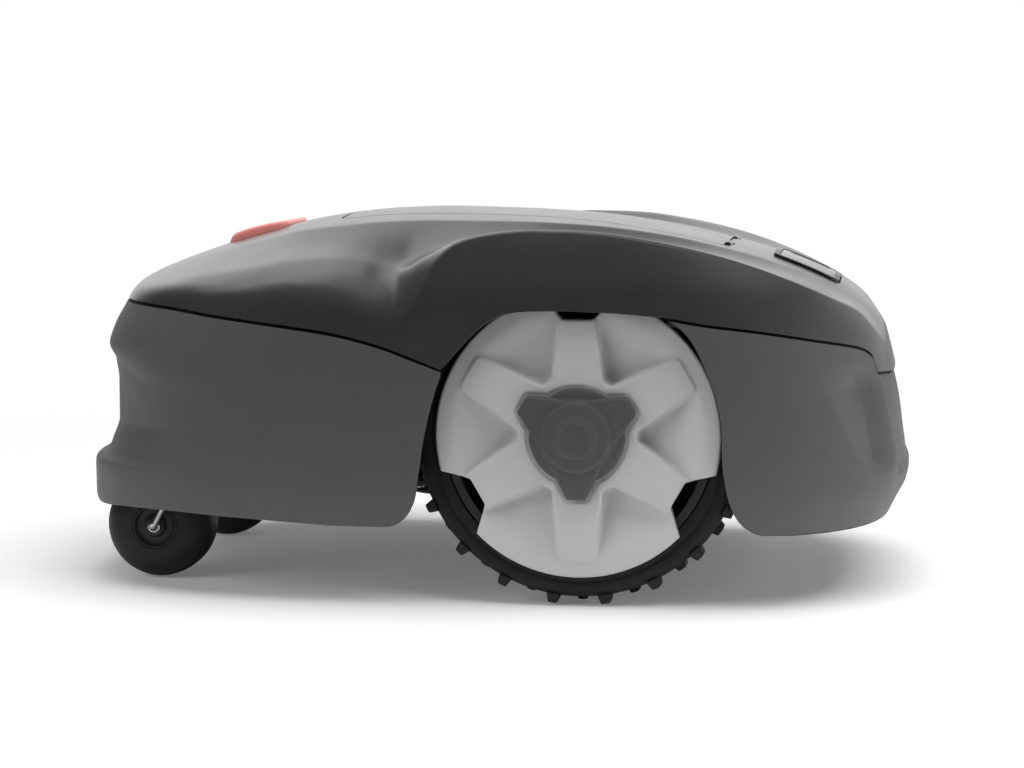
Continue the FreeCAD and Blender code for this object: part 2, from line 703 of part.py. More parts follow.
def make_badge():
    """Blank plate in a slightly prouder surround, both following the hood slope."""
    ring = prism(BADGE_HALF - BADGE_PLAY, BADGE_FRONT + BADGE_PLAY, BADGE_REAR - BADGE_PLAY,
                 BADGE_CORNER - BADGE_PLAY, OPENING_LOW, OPENING_HIGH)
    ring = ring.cut(prism(PLATE_HALF, PLATE_FRONT, PLATE_REAR, PLATE_CORNER,
                          OPENING_LOW - 10, OPENING_HIGH + 10))
    surround = ring.common(lowered(top_outer, -1.9)).cut(badge_floor)
    plate = prism(PLATE_HALF - PLATE_PLAY, PLATE_FRONT + PLATE_PLAY, PLATE_REAR - PLATE_PLAY,
                  PLATE_CORNER, OPENING_LOW, OPENING_HIGH)
    plate = plate.common(lowered(top_outer, -1.4)).cut(badge_floor)
    finish(feature("badge_bezel_shell", largest(surround)), "badge_surround")
    finish(feature("badge_plate_shell", largest(plate)), "badge_plate")


def make_stop_button():
    """A wedge rising out of the hood, hollow underneath."""
    front, rear, half = mm.stop_front, mm.stop_rear, mm.stop_half_width
    bottom, wall = 204, 3
    wedge = side_prism([
        [(front, bottom), (front, 220.6)],
        [(front, 220.6), (-186.5, 222.6), (-181, 227.0), (-174, 231.4), (-165, 234.4),
         (-155, 236.2), (-147, 237.1), (rear, 237.8)],
        [(rear, 237.8), (rear, bottom)],
        [(rear, bottom), (front, bottom)],
    ], half)
    upright = [e for e in wedge.Edges if len(e.Vertexes) == 2
               and abs(e.Vertexes[0].Y - e.Vertexes[1].Y) < 1e-6
               and abs(e.Vertexes[0].X - e.Vertexes[1].X) < 1e-6]
    button = wedge.makeFillet(6, upright)
    button = button.cut(prism(half - wall, front + wall, rear - wall, 3.2, 190, 216))
    finish(feature("stop_button_block", largest(button)), "stop_button")


make_hood()
make_lid()
make_hinge_pin()
make_front_skirt()
make_rear_skirt()
make_contacts()
make_badge()
make_stop_button()

# --------------------------------------------------------------------- chassis
SCREW_SPOTS = [(side * 98.0, y) for side in (1, -1) for y in (-150.0, -60.0, 190.0)]
SCREW_BOSS_RADIUS = 5.5
TUB_FILLET = 5.0
CORNER_SHRINK = 0.5858      # 2 - sqrt 2: keeps 45 degree corners parallel when inset

# console keys: label and x
KEYS = [("start_button", -28.0), ("power_button", 28.0)]
KEY_Y = 70.0
KEY_WELLS = [(x, KEY_Y, drive.key_radius + 0.2) for _, x in KEYS]
PANEL_HALF = 50.0
PANEL_PLAY = 0.2


def tub_outline(inset=0.0):
    """Chassis plan: a rectangle with cut corners."""
    half = drive.chassis_half_width - inset
    front = drive.chassis_front - inset
    rear = drive.chassis_rear - inset
    corner = drive.corner_radius - CORNER_SHRINK * inset
    return [(-half, corner - front), (corner - half, -front), (half - corner, -front),
            (half, corner - front), (half, rear - corner), (half - corner, rear),
            (corner - half, rear), (-half, rear - corner)]


def tub_block(name, z, height, inset=0.0):
    """New body: the chassis plan padded up from z, with its corners rounded."""
    body = new_body(name, (0, 0, z))
    block = pad(body, name + "_block", [tub_outline(inset)], height)
    round_vertical(body, name + "_corners", block, TUB_FILLET)
    return body


def screw_bosses(name, z, height):
    return compound_feature(name, [
        Part.makeCylinder(SCREW_BOSS_RADIUS, height, Vector(x, y, z))
        for x, y in SCREW_SPOTS])


def make_chassis_screws():
    screws = []
    for x, y in SCREW_SPOTS:
        foot = Vector(x, y, mm.chassis_floor_z)
        head = Part.makeCylinder(4.2, 2.4, foot)
        screws.append(head.fuse(Part.makeCylinder(1.9, 50, foot)).removeSplitter())
    screw_set = compound_feature("case_screw_set", screws)
    finish(screw_set, "chassis_screws")
    return screw_set


def make_chassis_base(screws):
    floor = drive.chassis_floor_z
    cutter_y = drive.cutter_y
    body = tub_block("tub", floor, drive.chassis_split_z - floor)
    pocket(body, "tub_hollow", [tub_outline(drive.chassis_wall)], 100.0, drive.chassis_wall)
    pad(body, "guide_tube", [(0, cutter_y, drive.guide_outer), (0, cutter_y, drive.guide_bore)],
        drive.chassis_top_z - drive.chassis_wall - floor - 0.5)
    pocket(body, "cutter_opening", [(0, cutter_y, drive.ledge_bore)], 20.0)
    pocket(body, "bushing_seats",
           [(side * drive.caster_pivot_x, drive.caster_pivot_y, drive.bushing_radius)
            for side in (1, -1)], 20.0)

    # upright slots in the guide tube for the three carriage pins
    slot_half = mm.pin_radius + 0.2
    slot = Part.makeBox(12, 2 * slot_half, 52, Vector(46, -slot_half, 90))
    slots = ring_of(slot, 3, Z_AXIS, 90)
    for slot in slots:
        slot.translate(Vector(0, mm.cutter_y, 0))
    guide_slots = compound_feature("guide_slots", slots)
    ports = [cylinder("axle_port_" + tag, 13.0, 20.0, (x, drive.axle_y, drive.axle_height),
                      along_x=True)
             for tag, x in (("l", 100), ("r", -120))]
    bosses = screw_bosses("screw_bosses", mm.chassis_floor_z + 1.0,
                          mm.chassis_split_z - mm.chassis_floor_z - 1.0)
    base = fuse("tub_with_bosses", body, bosses)
    finish(cut("chassis_base_final", base, guide_slots, ports[0], ports[1], screws),
           "chassis_base")


def make_chassis_seal():
    body = tub_block("seal", drive.chassis_split_z, drive.seal_thickness, 0.3)
    pocket(body, "seal_opening", [tub_outline(drive.chassis_wall)], 5.0)
    finish(body, "chassis_seal")


def make_chassis_cover():
    bottom = drive.chassis_split_z + drive.seal_thickness
    height = drive.chassis_top_z - bottom
    console_height = drive.console_top_z - bottom
    half, front, rear = drive.console_half_width, drive.console_front, drive.console_rear
    body = tub_block("cover", bottom, height)
    pad(body, "console_block", [rectangle(-half, front, half, rear)], console_height)
    pocket(body, "cover_hollow", [tub_outline(drive.chassis_wall)],
           height - drive.chassis_wall)
    pocket(body, "console_hollow",
           [rectangle(-(half - 3), front + 3, half - 3, rear - 3)], console_height - 5)
    pocket(body, "panel_recess",
           [rectangle(-PANEL_HALF, front + 6, PANEL_HALF, rear - 8)],
           drive.panel_thickness, console_height, forward=False)
    pocket(body, "key_wells", KEY_WELLS, 30.0, console_height, forward=False)
    pocket(body, "knob_opening", [(0, drive.cutter_y, drive.guide_bore)], 60.0)

    # raised collars around the feet of the suspension posts
    foot, top = mm.post_foot_radius, mm.chassis_top_z
    collars = [prism(foot + 4, y - foot - 9, y + foot + 9, 6, top - 1, top + 5, x)
               for x, y in POST_SPOTS]
    wells = [prism(foot + 0.3, y - foot - 4.6, y + foot + 4.6, foot - 0.5, top, top + 9, x)
             for x, y in POST_SPOTS]
    collar_blocks = compound_feature("post_collars", collars)
    collar_wells = compound_feature("post_wells", wells)
    bosses = screw_bosses("cover_screw_bosses", mm.chassis_split_z + 1.01,
                          mm.chassis_top_z - mm.chassis_split_z - 3)
    cover = fuse("cover_with_collars", body, collar_blocks, bosses)
    finish(cut("chassis_cover_final", cover, collar_wells), "chassis_cover")


def make_keypad():
    body = new_body("panel", (0, 0, drive.console_top_z - drive.panel_thickness))
    half = PANEL_HALF - PANEL_PLAY
    pad(body, "panel_sheet",
        [rectangle(-half, drive.console_front + 6 + PANEL_PLAY,
                   half, drive.console_rear - 8 - PANEL_PLAY)], drive.panel_thickness)
    pocket(body, "panel_keys_cut", KEY_WELLS, 10.0)
    domes = [(10 + 14.0 * i, 88 + 12.0 * j, 4.0) for i in range(3) for j in range(4)]
    pad(body, "dome_keys", domes, 0.8, drive.panel_thickness)
    finish(body, "keypad_panel")


def make_display():
    lens = doc.addObject("Part::Box", "display_window")
    lens.Length = 42
    lens.Width = 32
    lens.Height = 1.6
    finish(place(lens, (-45, 90, drive.console_top_z)), "display_lens")


def make_keys():
    for label, x in KEYS:
        finish(cylinder(label + "_stud", drive.key_radius, 7.0,
                        (x, KEY_Y, drive.console_top_z - 4.5)), label)


def make_battery():
    body = new_body("battery", (0, 100, drive.chassis_floor_z + drive.chassis_wall + 0.5))
    half = drive.battery_half_width
    block = pad(body, "battery_block", [rectangle(-half, 0.0, half, drive.battery_length)],
                drive.battery_height)
    round_vertical(body, "battery_corners", block, 9.0)
    finish(body, "battery_pack")


def make_control_board():
    thickness = 1.6
    body = new_body("board", (0, 0, 137.0))
    pad(body, "board_sheet", [rectangle(-76.0, 60.0, 76.0, 186.0)], thickness)
    pocket(body, "board_mounting_holes",
           [(x, y, 1.7) for x in (-70, 70) for y in (66, 180)], 5.0)
    pad(body, "board_chips", [rectangle(-20.0, 90.0, 4.0, 114.0),
                              rectangle(30.0, 130.0, 60.0, 150.0),
                              rectangle(-60.0, 130.0, -36.0, 170.0)], 4.0, thickness)
    finish(body, "control_board")


def make_posts():
    foot, stem, head = drive.post_foot_radius, drive.post_stem_radius, drive.post_head_radius
    profile = [(0, 0), (foot, 0), (foot, 4), (stem + 1, 7), (stem, 12), (stem, 20),
               (head, 23), (head, 47), (head - 2, 49.8), (0, 49.8)]
    posts = [
        turned("post_%s_%s" % (end, flank), profile,
               (side * drive.post_x, y, drive.chassis_top_z + drive.run_gap))
        for end, y in (("front", drive.post_front_y), ("rear", drive.post_rear_y))
        for flank, side in (("left", 1), ("right", -1))]
    post_set = doc.addObject("Part::Compound", "post_set")
    post_set.Links = posts
    finish(post_set, "suspension_posts")


make_chassis_base(make_chassis_screws())
make_chassis_seal()
make_chassis_cover()
make_keypad()
make_display()
make_keys()
make_battery()
make_control_board()
make_posts()

# ---------------------------------------------------------------- drive wheels
# Wheel and drive pieces are modelled with local +X outboard about the axle, then
# turned half way round for the right flank.
AXLE = (0, drive.axle_y, drive.axle_height)
TURN = {1: Rotation(), -1: Rotation(Vector(0, 0, 1), 180)}


def make_tyre(side, tag):
    """Revolved carcass with two staggered rows of cleats."""
    inboard, outboard = drive.tyre_inboard, drive.tyre_outboard
    root, bore = drive.tyre_root, drive.tyre_bore
    body = turned(tag + "_tyre", [
        (inboard, bore + 2), (inboard + 3, bore), (outboard - 3, bore), (outboard, bore + 2),
        (outboard, root - 6), (outboard - 3, root - 1.5), (outboard - 8, root),
        (inboard + 8, root), (inboard + 3, root - 1.5), (inboard, root - 6)],
        AXLE, TURN[side], along_x=True)
    half = drive.cleat_width / 2
    cleat = pad(body, tag + "_cleat", [rectangle(-half, root - 3, half, drive.tyre_radius)],
                drive.cleat_length, inboard + 1, "YZ_Plane")
    polar(body, tag + "_cleat_ring", cleat, drive.cleat_count)

    # the outer row is turned by half a pitch
    angle = math.pi / mm.cleat_count
    half, low, high = mm.cleat_width / 2, mm.tyre_root - 3, mm.tyre_radius
    corners = [(u * math.cos(angle) + v * math.sin(angle),
                -u * math.sin(angle) + v * math.cos(angle))
               for u, v in rectangle(-half, low, half, high)]
    cleat = pad(body, tag + "_outer_cleat", [corners], drive.cleat_length,
                outboard - 1 - drive.cleat_length, "YZ_Plane")
    polar(body, tag + "_outer_cleat_ring", cleat, drive.cleat_count)
    finish(body, tag + "_drive_tyre")


def make_rim(side, tag):
    """Hub, web and tyre seat, with six round holes in the web."""
    inboard, outboard, bore = drive.tyre_inboard, drive.tyre_outboard, drive.tyre_bore
    hub, shaft = drive.rim_hub_radius, drive.shaft_radius
    web_inboard, web_outboard = 149, 154
    body = turned(tag + "_rim", [
        (inboard - 2, shaft), (outboard - 3, shaft), (outboard - 3, hub),
        (web_outboard, hub), (web_outboard, bore - 6), (outboard, bore - 6),
        (outboard, bore - 1), (outboard - 3, bore), (inboard + 3, bore),
        (inboard, bore - 1), (inboard, bore - 6), (web_inboard, bore - 6),
        (web_inboard, hub), (inboard - 2, hub)],
        AXLE, TURN[side], along_x=True)
    hole = pocket(body, tag + "_rim_hole", [(0, 50.0, 13.0)], 30.0, 140.0, "YZ_Plane")
    polar(body, tag + "_rim_holes", hole, 6)
    finish(body, tag + "_wheel_rim")


def cover_valley():
    """Five-sided pyramid to sink into the wheel cover, apex near the hub."""
    inner, face = mm.valley_inner, mm.cover_face
    x = face + 0.02
    rim = [Vector(x, -5.5, inner), Vector(x, 5.5, inner), Vector(x, 26.0, 74.0),
           Vector(x, 0, mm.valley_outer), Vector(x, -26.0, 74.0)]
    apex = Vector(face - mm.valley_depth, 0, inner + 5.5)
    faces = [face_of(rim)]
    for i in range(5):
        faces.append(face_of([rim[i], rim[(i + 1) % 5], apex]))
    return Part.makeSolid(Part.makeShell(faces))


def rim_notch():
    """Tapered cutter through the cover's edge, wider outward."""
    low, high = 73, 95                  # radii of its two ends
    low_angle, high_angle = math.radians(6.7), math.radians(14.2)
    outline = [Vector(160, sign * radius * math.sin(angle), radius * math.cos(angle))
               for sign, radius, angle in ((-1, low, low_angle), (1, low, low_angle),
                                           (1, high, high_angle), (-1, high, high_angle))]
    return face_of(outline).extrude(Vector(40, 0, 0))


def make_wheel_cover(side, tag):
    """Flat disc with six sunk valleys and three rim notches."""
    radius, back, face = mm.cover_radius, mm.cover_back, mm.cover_face
    disc = x_rod(radius, back, face - back)
    disc = disc.makeChamfer(2.0, [e for e in disc.Edges
                                  if abs(e.BoundBox.XMin - face) < 1e-6])
    # ring behind the disc, then a thin floor behind the valleys
    skirt = x_rod(radius - 9, back - 6, 6)
    disc = disc.fuse(skirt.cut(x_rod(radius - 12, back - 8, 9)))
    disc = disc.fuse(x_rod(46, back - 6, 6.2).cut(x_rod(18.5, back - 8, 9)))
    cuts = ring_of(cover_valley(), 6, X_AXIS, 30) + ring_of(rim_notch(), 3, X_AXIS)
    disc = disc.cut(cuts + [x_rod(12, 150, 60)])
    finish(feature(tag + "_cover_disc", largest(disc), AXLE, TURN[side]),
           tag + "_wheel_cover")


def make_hub_cap(side, tag):
    """Three-lobed cap with a plain raised ring."""
    radius, top, face = drive.cap_radius, drive.cap_face_radius, drive.cover_face
    reach = drive.cap_lobe_reach
    body = turned(tag + "_cap", [
        (face, 0), (face + 9, 0), (face + 9, 9), (face + 9.8, 9.8), (face + 9.8, 12.6),
        (face + 9, 13.4), (face + 9, top - 1.5), (face + 8, top), (face + 6.5, top + 1),
        (face + 6.5, radius - 2), (face + 4.5, radius), (face, radius)],
        AXLE, TURN[side], along_x=True)
    lobe = pad(body, tag + "_lobe",
               [[(-11.8, -24.0), (-5.7, -reach), (5.7, -reach), (11.8, -24.0)]],
               6.5, face, "YZ_Plane")
    polar(body, tag + "_lobes", lobe, 3)
    finish(body, tag + "_hub_cap")


def make_axle_shaft(side, tag):
    """Shaft through the gearcase into the rim, stepped down for the nut."""
    start, step, end = (drive.gearcase_inboard + 0.5, drive.tyre_outboard - 4,
                        drive.tyre_outboard + 6)
    radius = drive.shaft_radius
    body = turned(tag + "_shaft", [(start, 0), (start, radius), (step, radius),
                                   (step, 3.0), (end, 3.0), (end, 0)],
                  AXLE, TURN[side], along_x=True)
    finish(body, tag + "_axle_shaft")


def make_axle_nut(side, tag):
    thickness, inboard = 5.0, 175.2
    disc = cylinder(tag + "_nut_disc", 8.0, thickness, (0, 0, 0), along_x=True)
    hole = cylinder(tag + "_nut_hole", 3.0, 9.0, (-1, 0, 0), along_x=True)
    nut = cut(tag + "_nut", disc, hole)
    x = inboard if side == 1 else -(inboard + thickness)
    finish(place(nut, (x, drive.axle_y, drive.axle_height)), tag + "_axle_nut")


# -------------------------------------------------------------- reduction drive
GEAR_TEETH = int(mm.gear_teeth)
PINION_TEETH = int(mm.pinion_teeth)
GEAR_SPAN = mm.gear_module * (GEAR_TEETH + PINION_TEETH) / 2.0
BACKLASH = 0.16
PRESSURE_ANGLE = math.radians(20)
CASE_HALF_HEIGHT = 27.2
MOTOR_DEPTH = 41        # motor's far end, inboard of the gearcase


def involute_gear(teeth, phase):
    """Spur gear about X with tooth flanks on true involutes."""
    pitch_radius = mm.gear_module * teeth / 2.0
    base = pitch_radius * math.cos(PRESSURE_ANGLE)
    tip = pitch_radius + 0.9 * mm.gear_module
    root = pitch_radius - 1.2 * mm.gear_module
    involute = math.tan(PRESSURE_ANGLE) - PRESSURE_ANGLE
    half_tooth = math.pi / (2 * teeth) - BACKLASH / (2 * pitch_radius)
    start = max(base, root)
    flank = []      # (radius, half angle of the tooth)
    for i in range(7):
        radius = start + (tip - start) * i / 6.0
        angle = math.acos(min(1.0, base / radius))
        flank.append((radius, half_tooth + involute - (math.tan(angle) - angle)))
    if root < base:
        flank.insert(0, (root, flank[0][1]))
    points = []
    for k in range(teeth):
        centre = phase + 2 * math.pi * k / teeth
        for sign, stations in ((-1, flank), (1, flank[::-1])):
            for radius, half in stations:
                points.append(Vector(mm.gear_inboard,
                                     radius * math.cos(centre + sign * half),
                                     radius * math.sin(centre + sign * half)))
    return face_of(points).extrude(Vector(mm.gear_width, 0, 0))


def make_drive_gear(side, tag):
    """Large gear with a hub on its outboard face and six round holes."""
    gear = involute_gear(GEAR_TEETH, 0.0)
    hub = x_rod(11, mm.gear_inboard + mm.gear_width - 0.01, 4)
    holes = [x_rod(4.5, 80, 30, 16 * math.cos(angle), 16 * math.sin(angle))
             for angle in [math.radians(60 * k + 30) for k in range(6)]]
    gear = gear.fuse(hub).cut(holes + [x_rod(mm.shaft_radius, 80, 60)])
    finish(feature(tag + "_gear_wheel", largest(gear), AXLE, TURN[side]),
           tag + "_drive_gear")


def make_pinion(side, tag):
    """Pinion and its shaft, in front of the axle."""
    phase = math.pi / PINION_TEETH + (0 if side == 1 else math.pi)
    pinion = involute_gear(PINION_TEETH, phase)
    pinion = pinion.fuse(x_rod(mm.pinion_shaft_radius, 60, 42))
    finish(feature(tag + "_pinion_wheel", largest(pinion),
                   (0, mm.axle_y - GEAR_SPAN, mm.axle_height), TURN[side]),
           tag + "_motor_pinion")


def case_box(side, x, thickness):
    """Block covering both gears, in the turned frame."""
    low, high = sorted((-side * GEAR_SPAN - 12.5 * side, 28.0 * side))
    return Part.makeBox(thickness, high - low, 2 * CASE_HALF_HEIGHT,
                        Vector(x, low, -CASE_HALF_HEIGHT))


def make_gearcase(side, tag):
    inboard = mm.gearcase_inboard
    pinion_y = -side * GEAR_SPAN
    case = case_box(side, inboard, mm.gearcase_outboard - inboard)
    cavity = x_rod(25.5, inboard - 1, 18).fuse(x_rod(9.7, inboard - 1, 18, pinion_y))
    bores = [x_rod(mm.shaft_radius + mm.run_gap, 80, 60),
             x_rod(mm.pinion_shaft_radius + mm.run_gap, 60, 60, pinion_y)]
    finish(feature(tag + "_case_block", largest(case.cut([cavity] + bores)), AXLE,
                   TURN[side]), tag + "_gearcase")


def make_drive_motor(side, tag):
    """Motor can with the flange that closes the gearcase."""
    inboard = mm.gearcase_inboard
    end = inboard - MOTOR_DEPTH
    pinion_y = -side * GEAR_SPAN
    flange = case_box(side, inboard - 3.0, 3.0)
    can = x_rod(mm.drive_motor_radius, end, MOTOR_DEPTH - 3, pinion_y)
    can = can.makeFillet(2.0, [e for e in can.Edges if abs(e.BoundBox.XMin - end) < 1e-6
                               and e.BoundBox.XLength < 1e-6])
    can = can.fuse(flange).cut(
        x_rod(mm.pinion_shaft_radius + mm.run_gap, inboard - 27, 60, pinion_y))
    finish(feature(tag + "_motor_can", largest(can), AXLE, TURN[side]),
           tag + "_drive_motor")


# --------------------------------------------------------------------- casters
BUSHING_RISE = 34       # top of the bushing above the chassis floor
CASTER_SEAT = 15.0      # radius where tyre meets hub
WIRE_BORE = drive.leg_radius + drive.run_gap


def make_bushing(side, tag):
    floor, outer, flange = drive.chassis_floor_z, drive.bushing_radius, drive.bushing_flange
    body = turned(tag + "_bushing", [
        (WIRE_BORE, floor - 0.7), (flange, floor - 0.7), (flange, floor), (outer, floor),
        (outer, floor + BUSHING_RISE), (WIRE_BORE, floor + BUSHING_RISE)],
        (side * drive.caster_pivot_x, drive.caster_pivot_y, 0))
    finish(body, tag + "_caster_bushing")


def make_caster_leg(side, tag):
    """Bent wire: stub axle, leaning leg, bridge over the tyre, upright stem."""
    radius = mm.leg_radius
    leg_x = side * mm.leg_offset
    bridge = mm.leg_bridge_height
    path = [Vector(side * -20.5, -mm.caster_trail, mm.caster_radius),
            Vector(leg_x, -mm.caster_trail, mm.caster_radius),
            Vector(leg_x, 0, bridge), Vector(0, 0, bridge), Vector(0, 0, mm.stem_top)]
    rods = [Part.makeCylinder(radius, (end - start).Length, start, end - start)
            for start, end in zip(path, path[1:])]
    leg = rods[0]
    for rod in rods[1:]:
        leg = leg.fuse(rod)
    for bend in path[1:4]:
        leg = leg.fuse(Part.makeSphere(radius, bend))
    # collar just above the bushing
    collar_z = mm.chassis_floor_z + BUSHING_RISE + 0.2
    leg = leg.fuse(Part.makeCylinder(5.0, 1.6, Vector(0, 0, collar_z)))
    finish(feature(tag + "_leg_wire", largest(leg),
                   (side * drive.caster_pivot_x, drive.caster_pivot_y, 0)),
           tag + "_caster_leg")


def caster_body(side, name, stations):
    """Symmetric turned body from (inset from the side, radius) stations."""
    half = drive.caster_half_width
    profile = [(-half + inset, radius) for inset, radius in stations]
    profile += [(half - inset, radius) for inset, radius in reversed(stations)]
    return turned(name, profile,
                  (side * drive.caster_pivot_x, drive.caster_pivot_y - drive.caster_trail,
                   drive.caster_radius), along_x=True)


def make_caster_tyre(side, tag):
    radius = drive.caster_radius
    finish(caster_body(side, tag + "_caster", [
        (0, CASTER_SEAT), (0, radius - 13), (1.6, radius - 7.5), (5.2, radius - 3.2),
        (10.5, radius - 0.8), (17, radius)]), tag + "_caster_tyre")


def make_caster_hub(side, tag):
    finish(caster_body(side, tag + "_hub", [
        (1, WIRE_BORE), (1, 5), (3, 6.5), (3, 12.5), (0, 13.5), (0, CASTER_SEAT)]),
        tag + "_caster_hub")


for side, tag in ((1, "left"), (-1, "right")):
    make_tyre(side, tag)
    make_rim(side, tag)
    make_wheel_cover(side, tag)
    make_hub_cap(side, tag)
    make_axle_shaft(side, tag)
    make_axle_nut(side, tag)
    make_drive_gear(side, tag)
    make_pinion(side, tag)
    make_gearcase(side, tag)
    make_drive_motor(side, tag)
    make_bushing(side, tag)
    make_caster_leg(side, tag)
    make_caster_tyre(side, tag)
    make_caster_hub(side, tag)

# ---------------------------------------------------------------- cutting unit
CUTTER_BASE = (0, drive.cutter_y, 0)
PIN_Z = 135.0                   # carriage pins at rest, at the top of their travel
CARRIAGE_FLOOR = 72.0
MOTOR_BASE = 75.0
SPINDLE_BORE = drive.cutter_shaft_radius + drive.run_gap
BLADE_TOP = mm.disc_z - 0.15
BLADE_BOTTOM = BLADE_TOP - mm.blade_thickness


def around_cutter(name, shape, start=90.0, lift=0.0):
    """Three copies of a shape set evenly about the cutter axis."""
    copies = ring_of(shape, 3, Z_AXIS, start)
    for copy in copies:
        copy.translate(Vector(0, mm.cutter_y, lift))
    return compound_feature(name, copies)


def make_carriage():
    """Cup that holds the cutter motor, with three pins near its rim."""
    bore, outer = drive.cutter_shaft_radius + 2, drive.carriage_radius
    low, high = CARRIAGE_FLOOR, 142.0
    body = turned("carriage", [
        (bore, low), (outer - 1, low), (outer, low + 1), (outer, high), (outer - 3, high),
        (outer - 3, MOTOR_BASE), (bore, MOTOR_BASE)], CUTTER_BASE)
    pin = x_rod(mm.pin_radius, mm.carriage_radius - 2.0, 9.0, 0, PIN_Z)
    finish(fuse("carriage_final", body, around_cutter("carriage_pins", pin)),
           "cutter_carriage")


def make_sleeve():
    """Rotating sleeve whose helical slots raise and lower the carriage."""
    inner, outer, top = drive.sleeve_inner, drive.sleeve_outer, drive.knob_base_z
    body = turned("sleeve", [(inner, 81.3), (outer, 81.3), (outer, top), (30, top),
                             (30, top - 3), (inner, top - 3)], CUTTER_BASE)
    full_turn = 2 * math.pi
    pitch = mm.lift_travel * full_turn / math.radians(mm.knob_turn)
    middle = (mm.sleeve_inner + mm.sleeve_outer) / 2
    margin = 4.0                # degrees of slot beyond each end of the travel
    margin_rise = math.radians(margin) * pitch / full_turn
    helix = Part.makeHelix(pitch, mm.lift_travel + 2 * margin_rise, middle)
    # the section is a little taller than the pin because the slot is inclined
    half = (mm.pin_radius + mm.slot_play) * 1.06
    section = [Vector(middle - 5, 0, -half), Vector(middle + 5, 0, -half),
               Vector(middle + 5, 0, half), Vector(middle - 5, 0, half)]
    section = Part.makePolygon(section + [section[0]])
    slot = Part.Wire(helix).makePipeShell([section], True, True)
    # the pin sits at the upper end of the slot at rest
    slots = around_cutter("sleeve_slots", slot, 90 - mm.knob_turn - margin,
                          PIN_Z - mm.lift_travel - margin_rise)
    finish(cut("sleeve_final", body, slots), "height_cam_sleeve")


def make_knob():
    radius, height = drive.knob_radius, drive.knob_height
    body = turned("knob", [
        (0, 0), (radius + 4, 0), (radius + 4, 5), (radius, 6.5), (radius, height - 3),
        (radius - 3, height), (0, height)], (0, drive.cutter_y, drive.knob_base_z))
    grip = pocket(body, "knob_grip", [(0, radius + 3.5, 6.5)], 16.0, height, forward=False)
    polar(body, "knob_grips", grip, 12)
    pad(body, "knob_pointer", [rectangle(-2.0, -36.0, 2.0, -12.0)], 1.2, height)
    finish(body, "height_knob")


def make_cutter_motor():
    radius = drive.motor_radius
    body = turned("cutter_motor", [
        (SPINDLE_BORE, 0), (radius, 0), (radius, 46), (radius - 4, 50), (0, 50), (0, 32),
        (SPINDLE_BORE, 32)], (0, drive.cutter_y, MOTOR_BASE))
    finish(body, "cutter_motor")


def make_spindle():
    """Cutter shaft with a flat head at its lower end."""
    radius = drive.cutter_shaft_radius
    body = turned("spindle", [(0, 48.6), (6.5, 48.6), (6.5, 50.8), (radius, 50.8),
                              (radius, 106.5), (0, 106.5)], CUTTER_BASE)
    finish(body, "cutter_spindle")


def make_disc():
    """Blade disc with three screw holes and three round windows."""
    bore, radius = drive.cutter_shaft_radius, drive.disc_radius
    low, high = drive.disc_z, drive.disc_z + drive.disc_thickness
    body = turned("disc", [
        (bore, 56.5), (12, 56.5), (14, low), (radius - 1, low), (radius, low + 1),
        (radius, high), (18, high), (14, high + 4), (bore, high + 4)], CUTTER_BASE)
    hole = pocket(body, "disc_screw_hole",
                  [(0, drive.blade_pivot_radius, drive.blade_screw_radius)], 6.0, low)
    polar(body, "disc_screw_holes", hole, 3)
    window = pocket(body, "disc_window", [(0, -44.0, 10.0)], 6.0, low)
    polar(body, "disc_windows", window, 3)
    finish(body, "blade_disc")


def blade_shape():
    """One blade lying along +X with its screw hole at the origin."""
    thickness, half = mm.blade_thickness, mm.blade_width / 2
    back, tip, corner = -8, mm.blade_length - 8, 3
    plan = [Vector(back, -half, 0), Vector(tip - corner, -half, 0),
            Vector(tip, -half + corner, 0), Vector(tip, half - corner, 0),
            Vector(tip - corner, half, 0), Vector(back, half, 0)]
    blade = face_of(plan).extrude(Vector(0, 0, thickness))
    blade = blade.cut(Part.makeCylinder(mm.blade_screw_radius + 0.08, 4, Vector(0, 0, -1)))
    for sign in (-1, 1):        # ground cutting edges along both long sides
        edge = sign * (half + 0.01)
        bevel = face_of([Vector(back - 1, edge, -0.01),
                         Vector(back - 1, sign * (half - 2.2), -0.01),
                         Vector(back - 1, edge, thickness * 0.8)])
        blade = blade.cut(bevel.extrude(Vector(mm.blade_length + 4, 0, 0)))
    return largest(blade)


def make_blades():
    blade = blade_shape()
    stem_z = BLADE_BOTTOM - 0.2
    screws = []
    for k in range(3):
        degrees = 90 + 120 * k
        angle = math.radians(degrees)
        x = mm.blade_pivot_radius * math.cos(angle)
        y = mm.cutter_y + mm.blade_pivot_radius * math.sin(angle)
        finish(feature("blade_%d_sheet" % (k + 1), blade, (x, y, BLADE_BOTTOM),
                       Rotation(Z_AXIS, degrees)), "blade_%d" % (k + 1))
        screw = Part.makeCylinder(mm.blade_screw_radius,
                                  mm.disc_z + mm.disc_thickness - stem_z,
                                  Vector(x, y, stem_z))
        head = Part.makeCylinder(4.2, 1.6, Vector(x, y, stem_z - 1.6))
        screws.append(screw.fuse(head).removeSplitter())
    finish(compound_feature("blade_screw_set", screws), "blade_screws")


def make_skid():
    """Dished plate on the spindle, below the blade disc."""
    low, high, radius = drive.skid_z, drive.skid_z + drive.skid_thickness, drive.skid_radius
    body = turned("skid", [
        (SPINDLE_BORE, low), (radius - 6, low), (radius, low + 1.6), (radius, high),
        (radius - 6, high - 0.4), (9, high - 0.4), (9, 56.3), (SPINDLE_BORE, 56.3)],
        CUTTER_BASE)
    finish(body, "skid_plate")


make_carriage()
make_sleeve()
make_knob()
make_cutter_motor()
make_spindle()
make_disc()
make_blades()
make_skid()

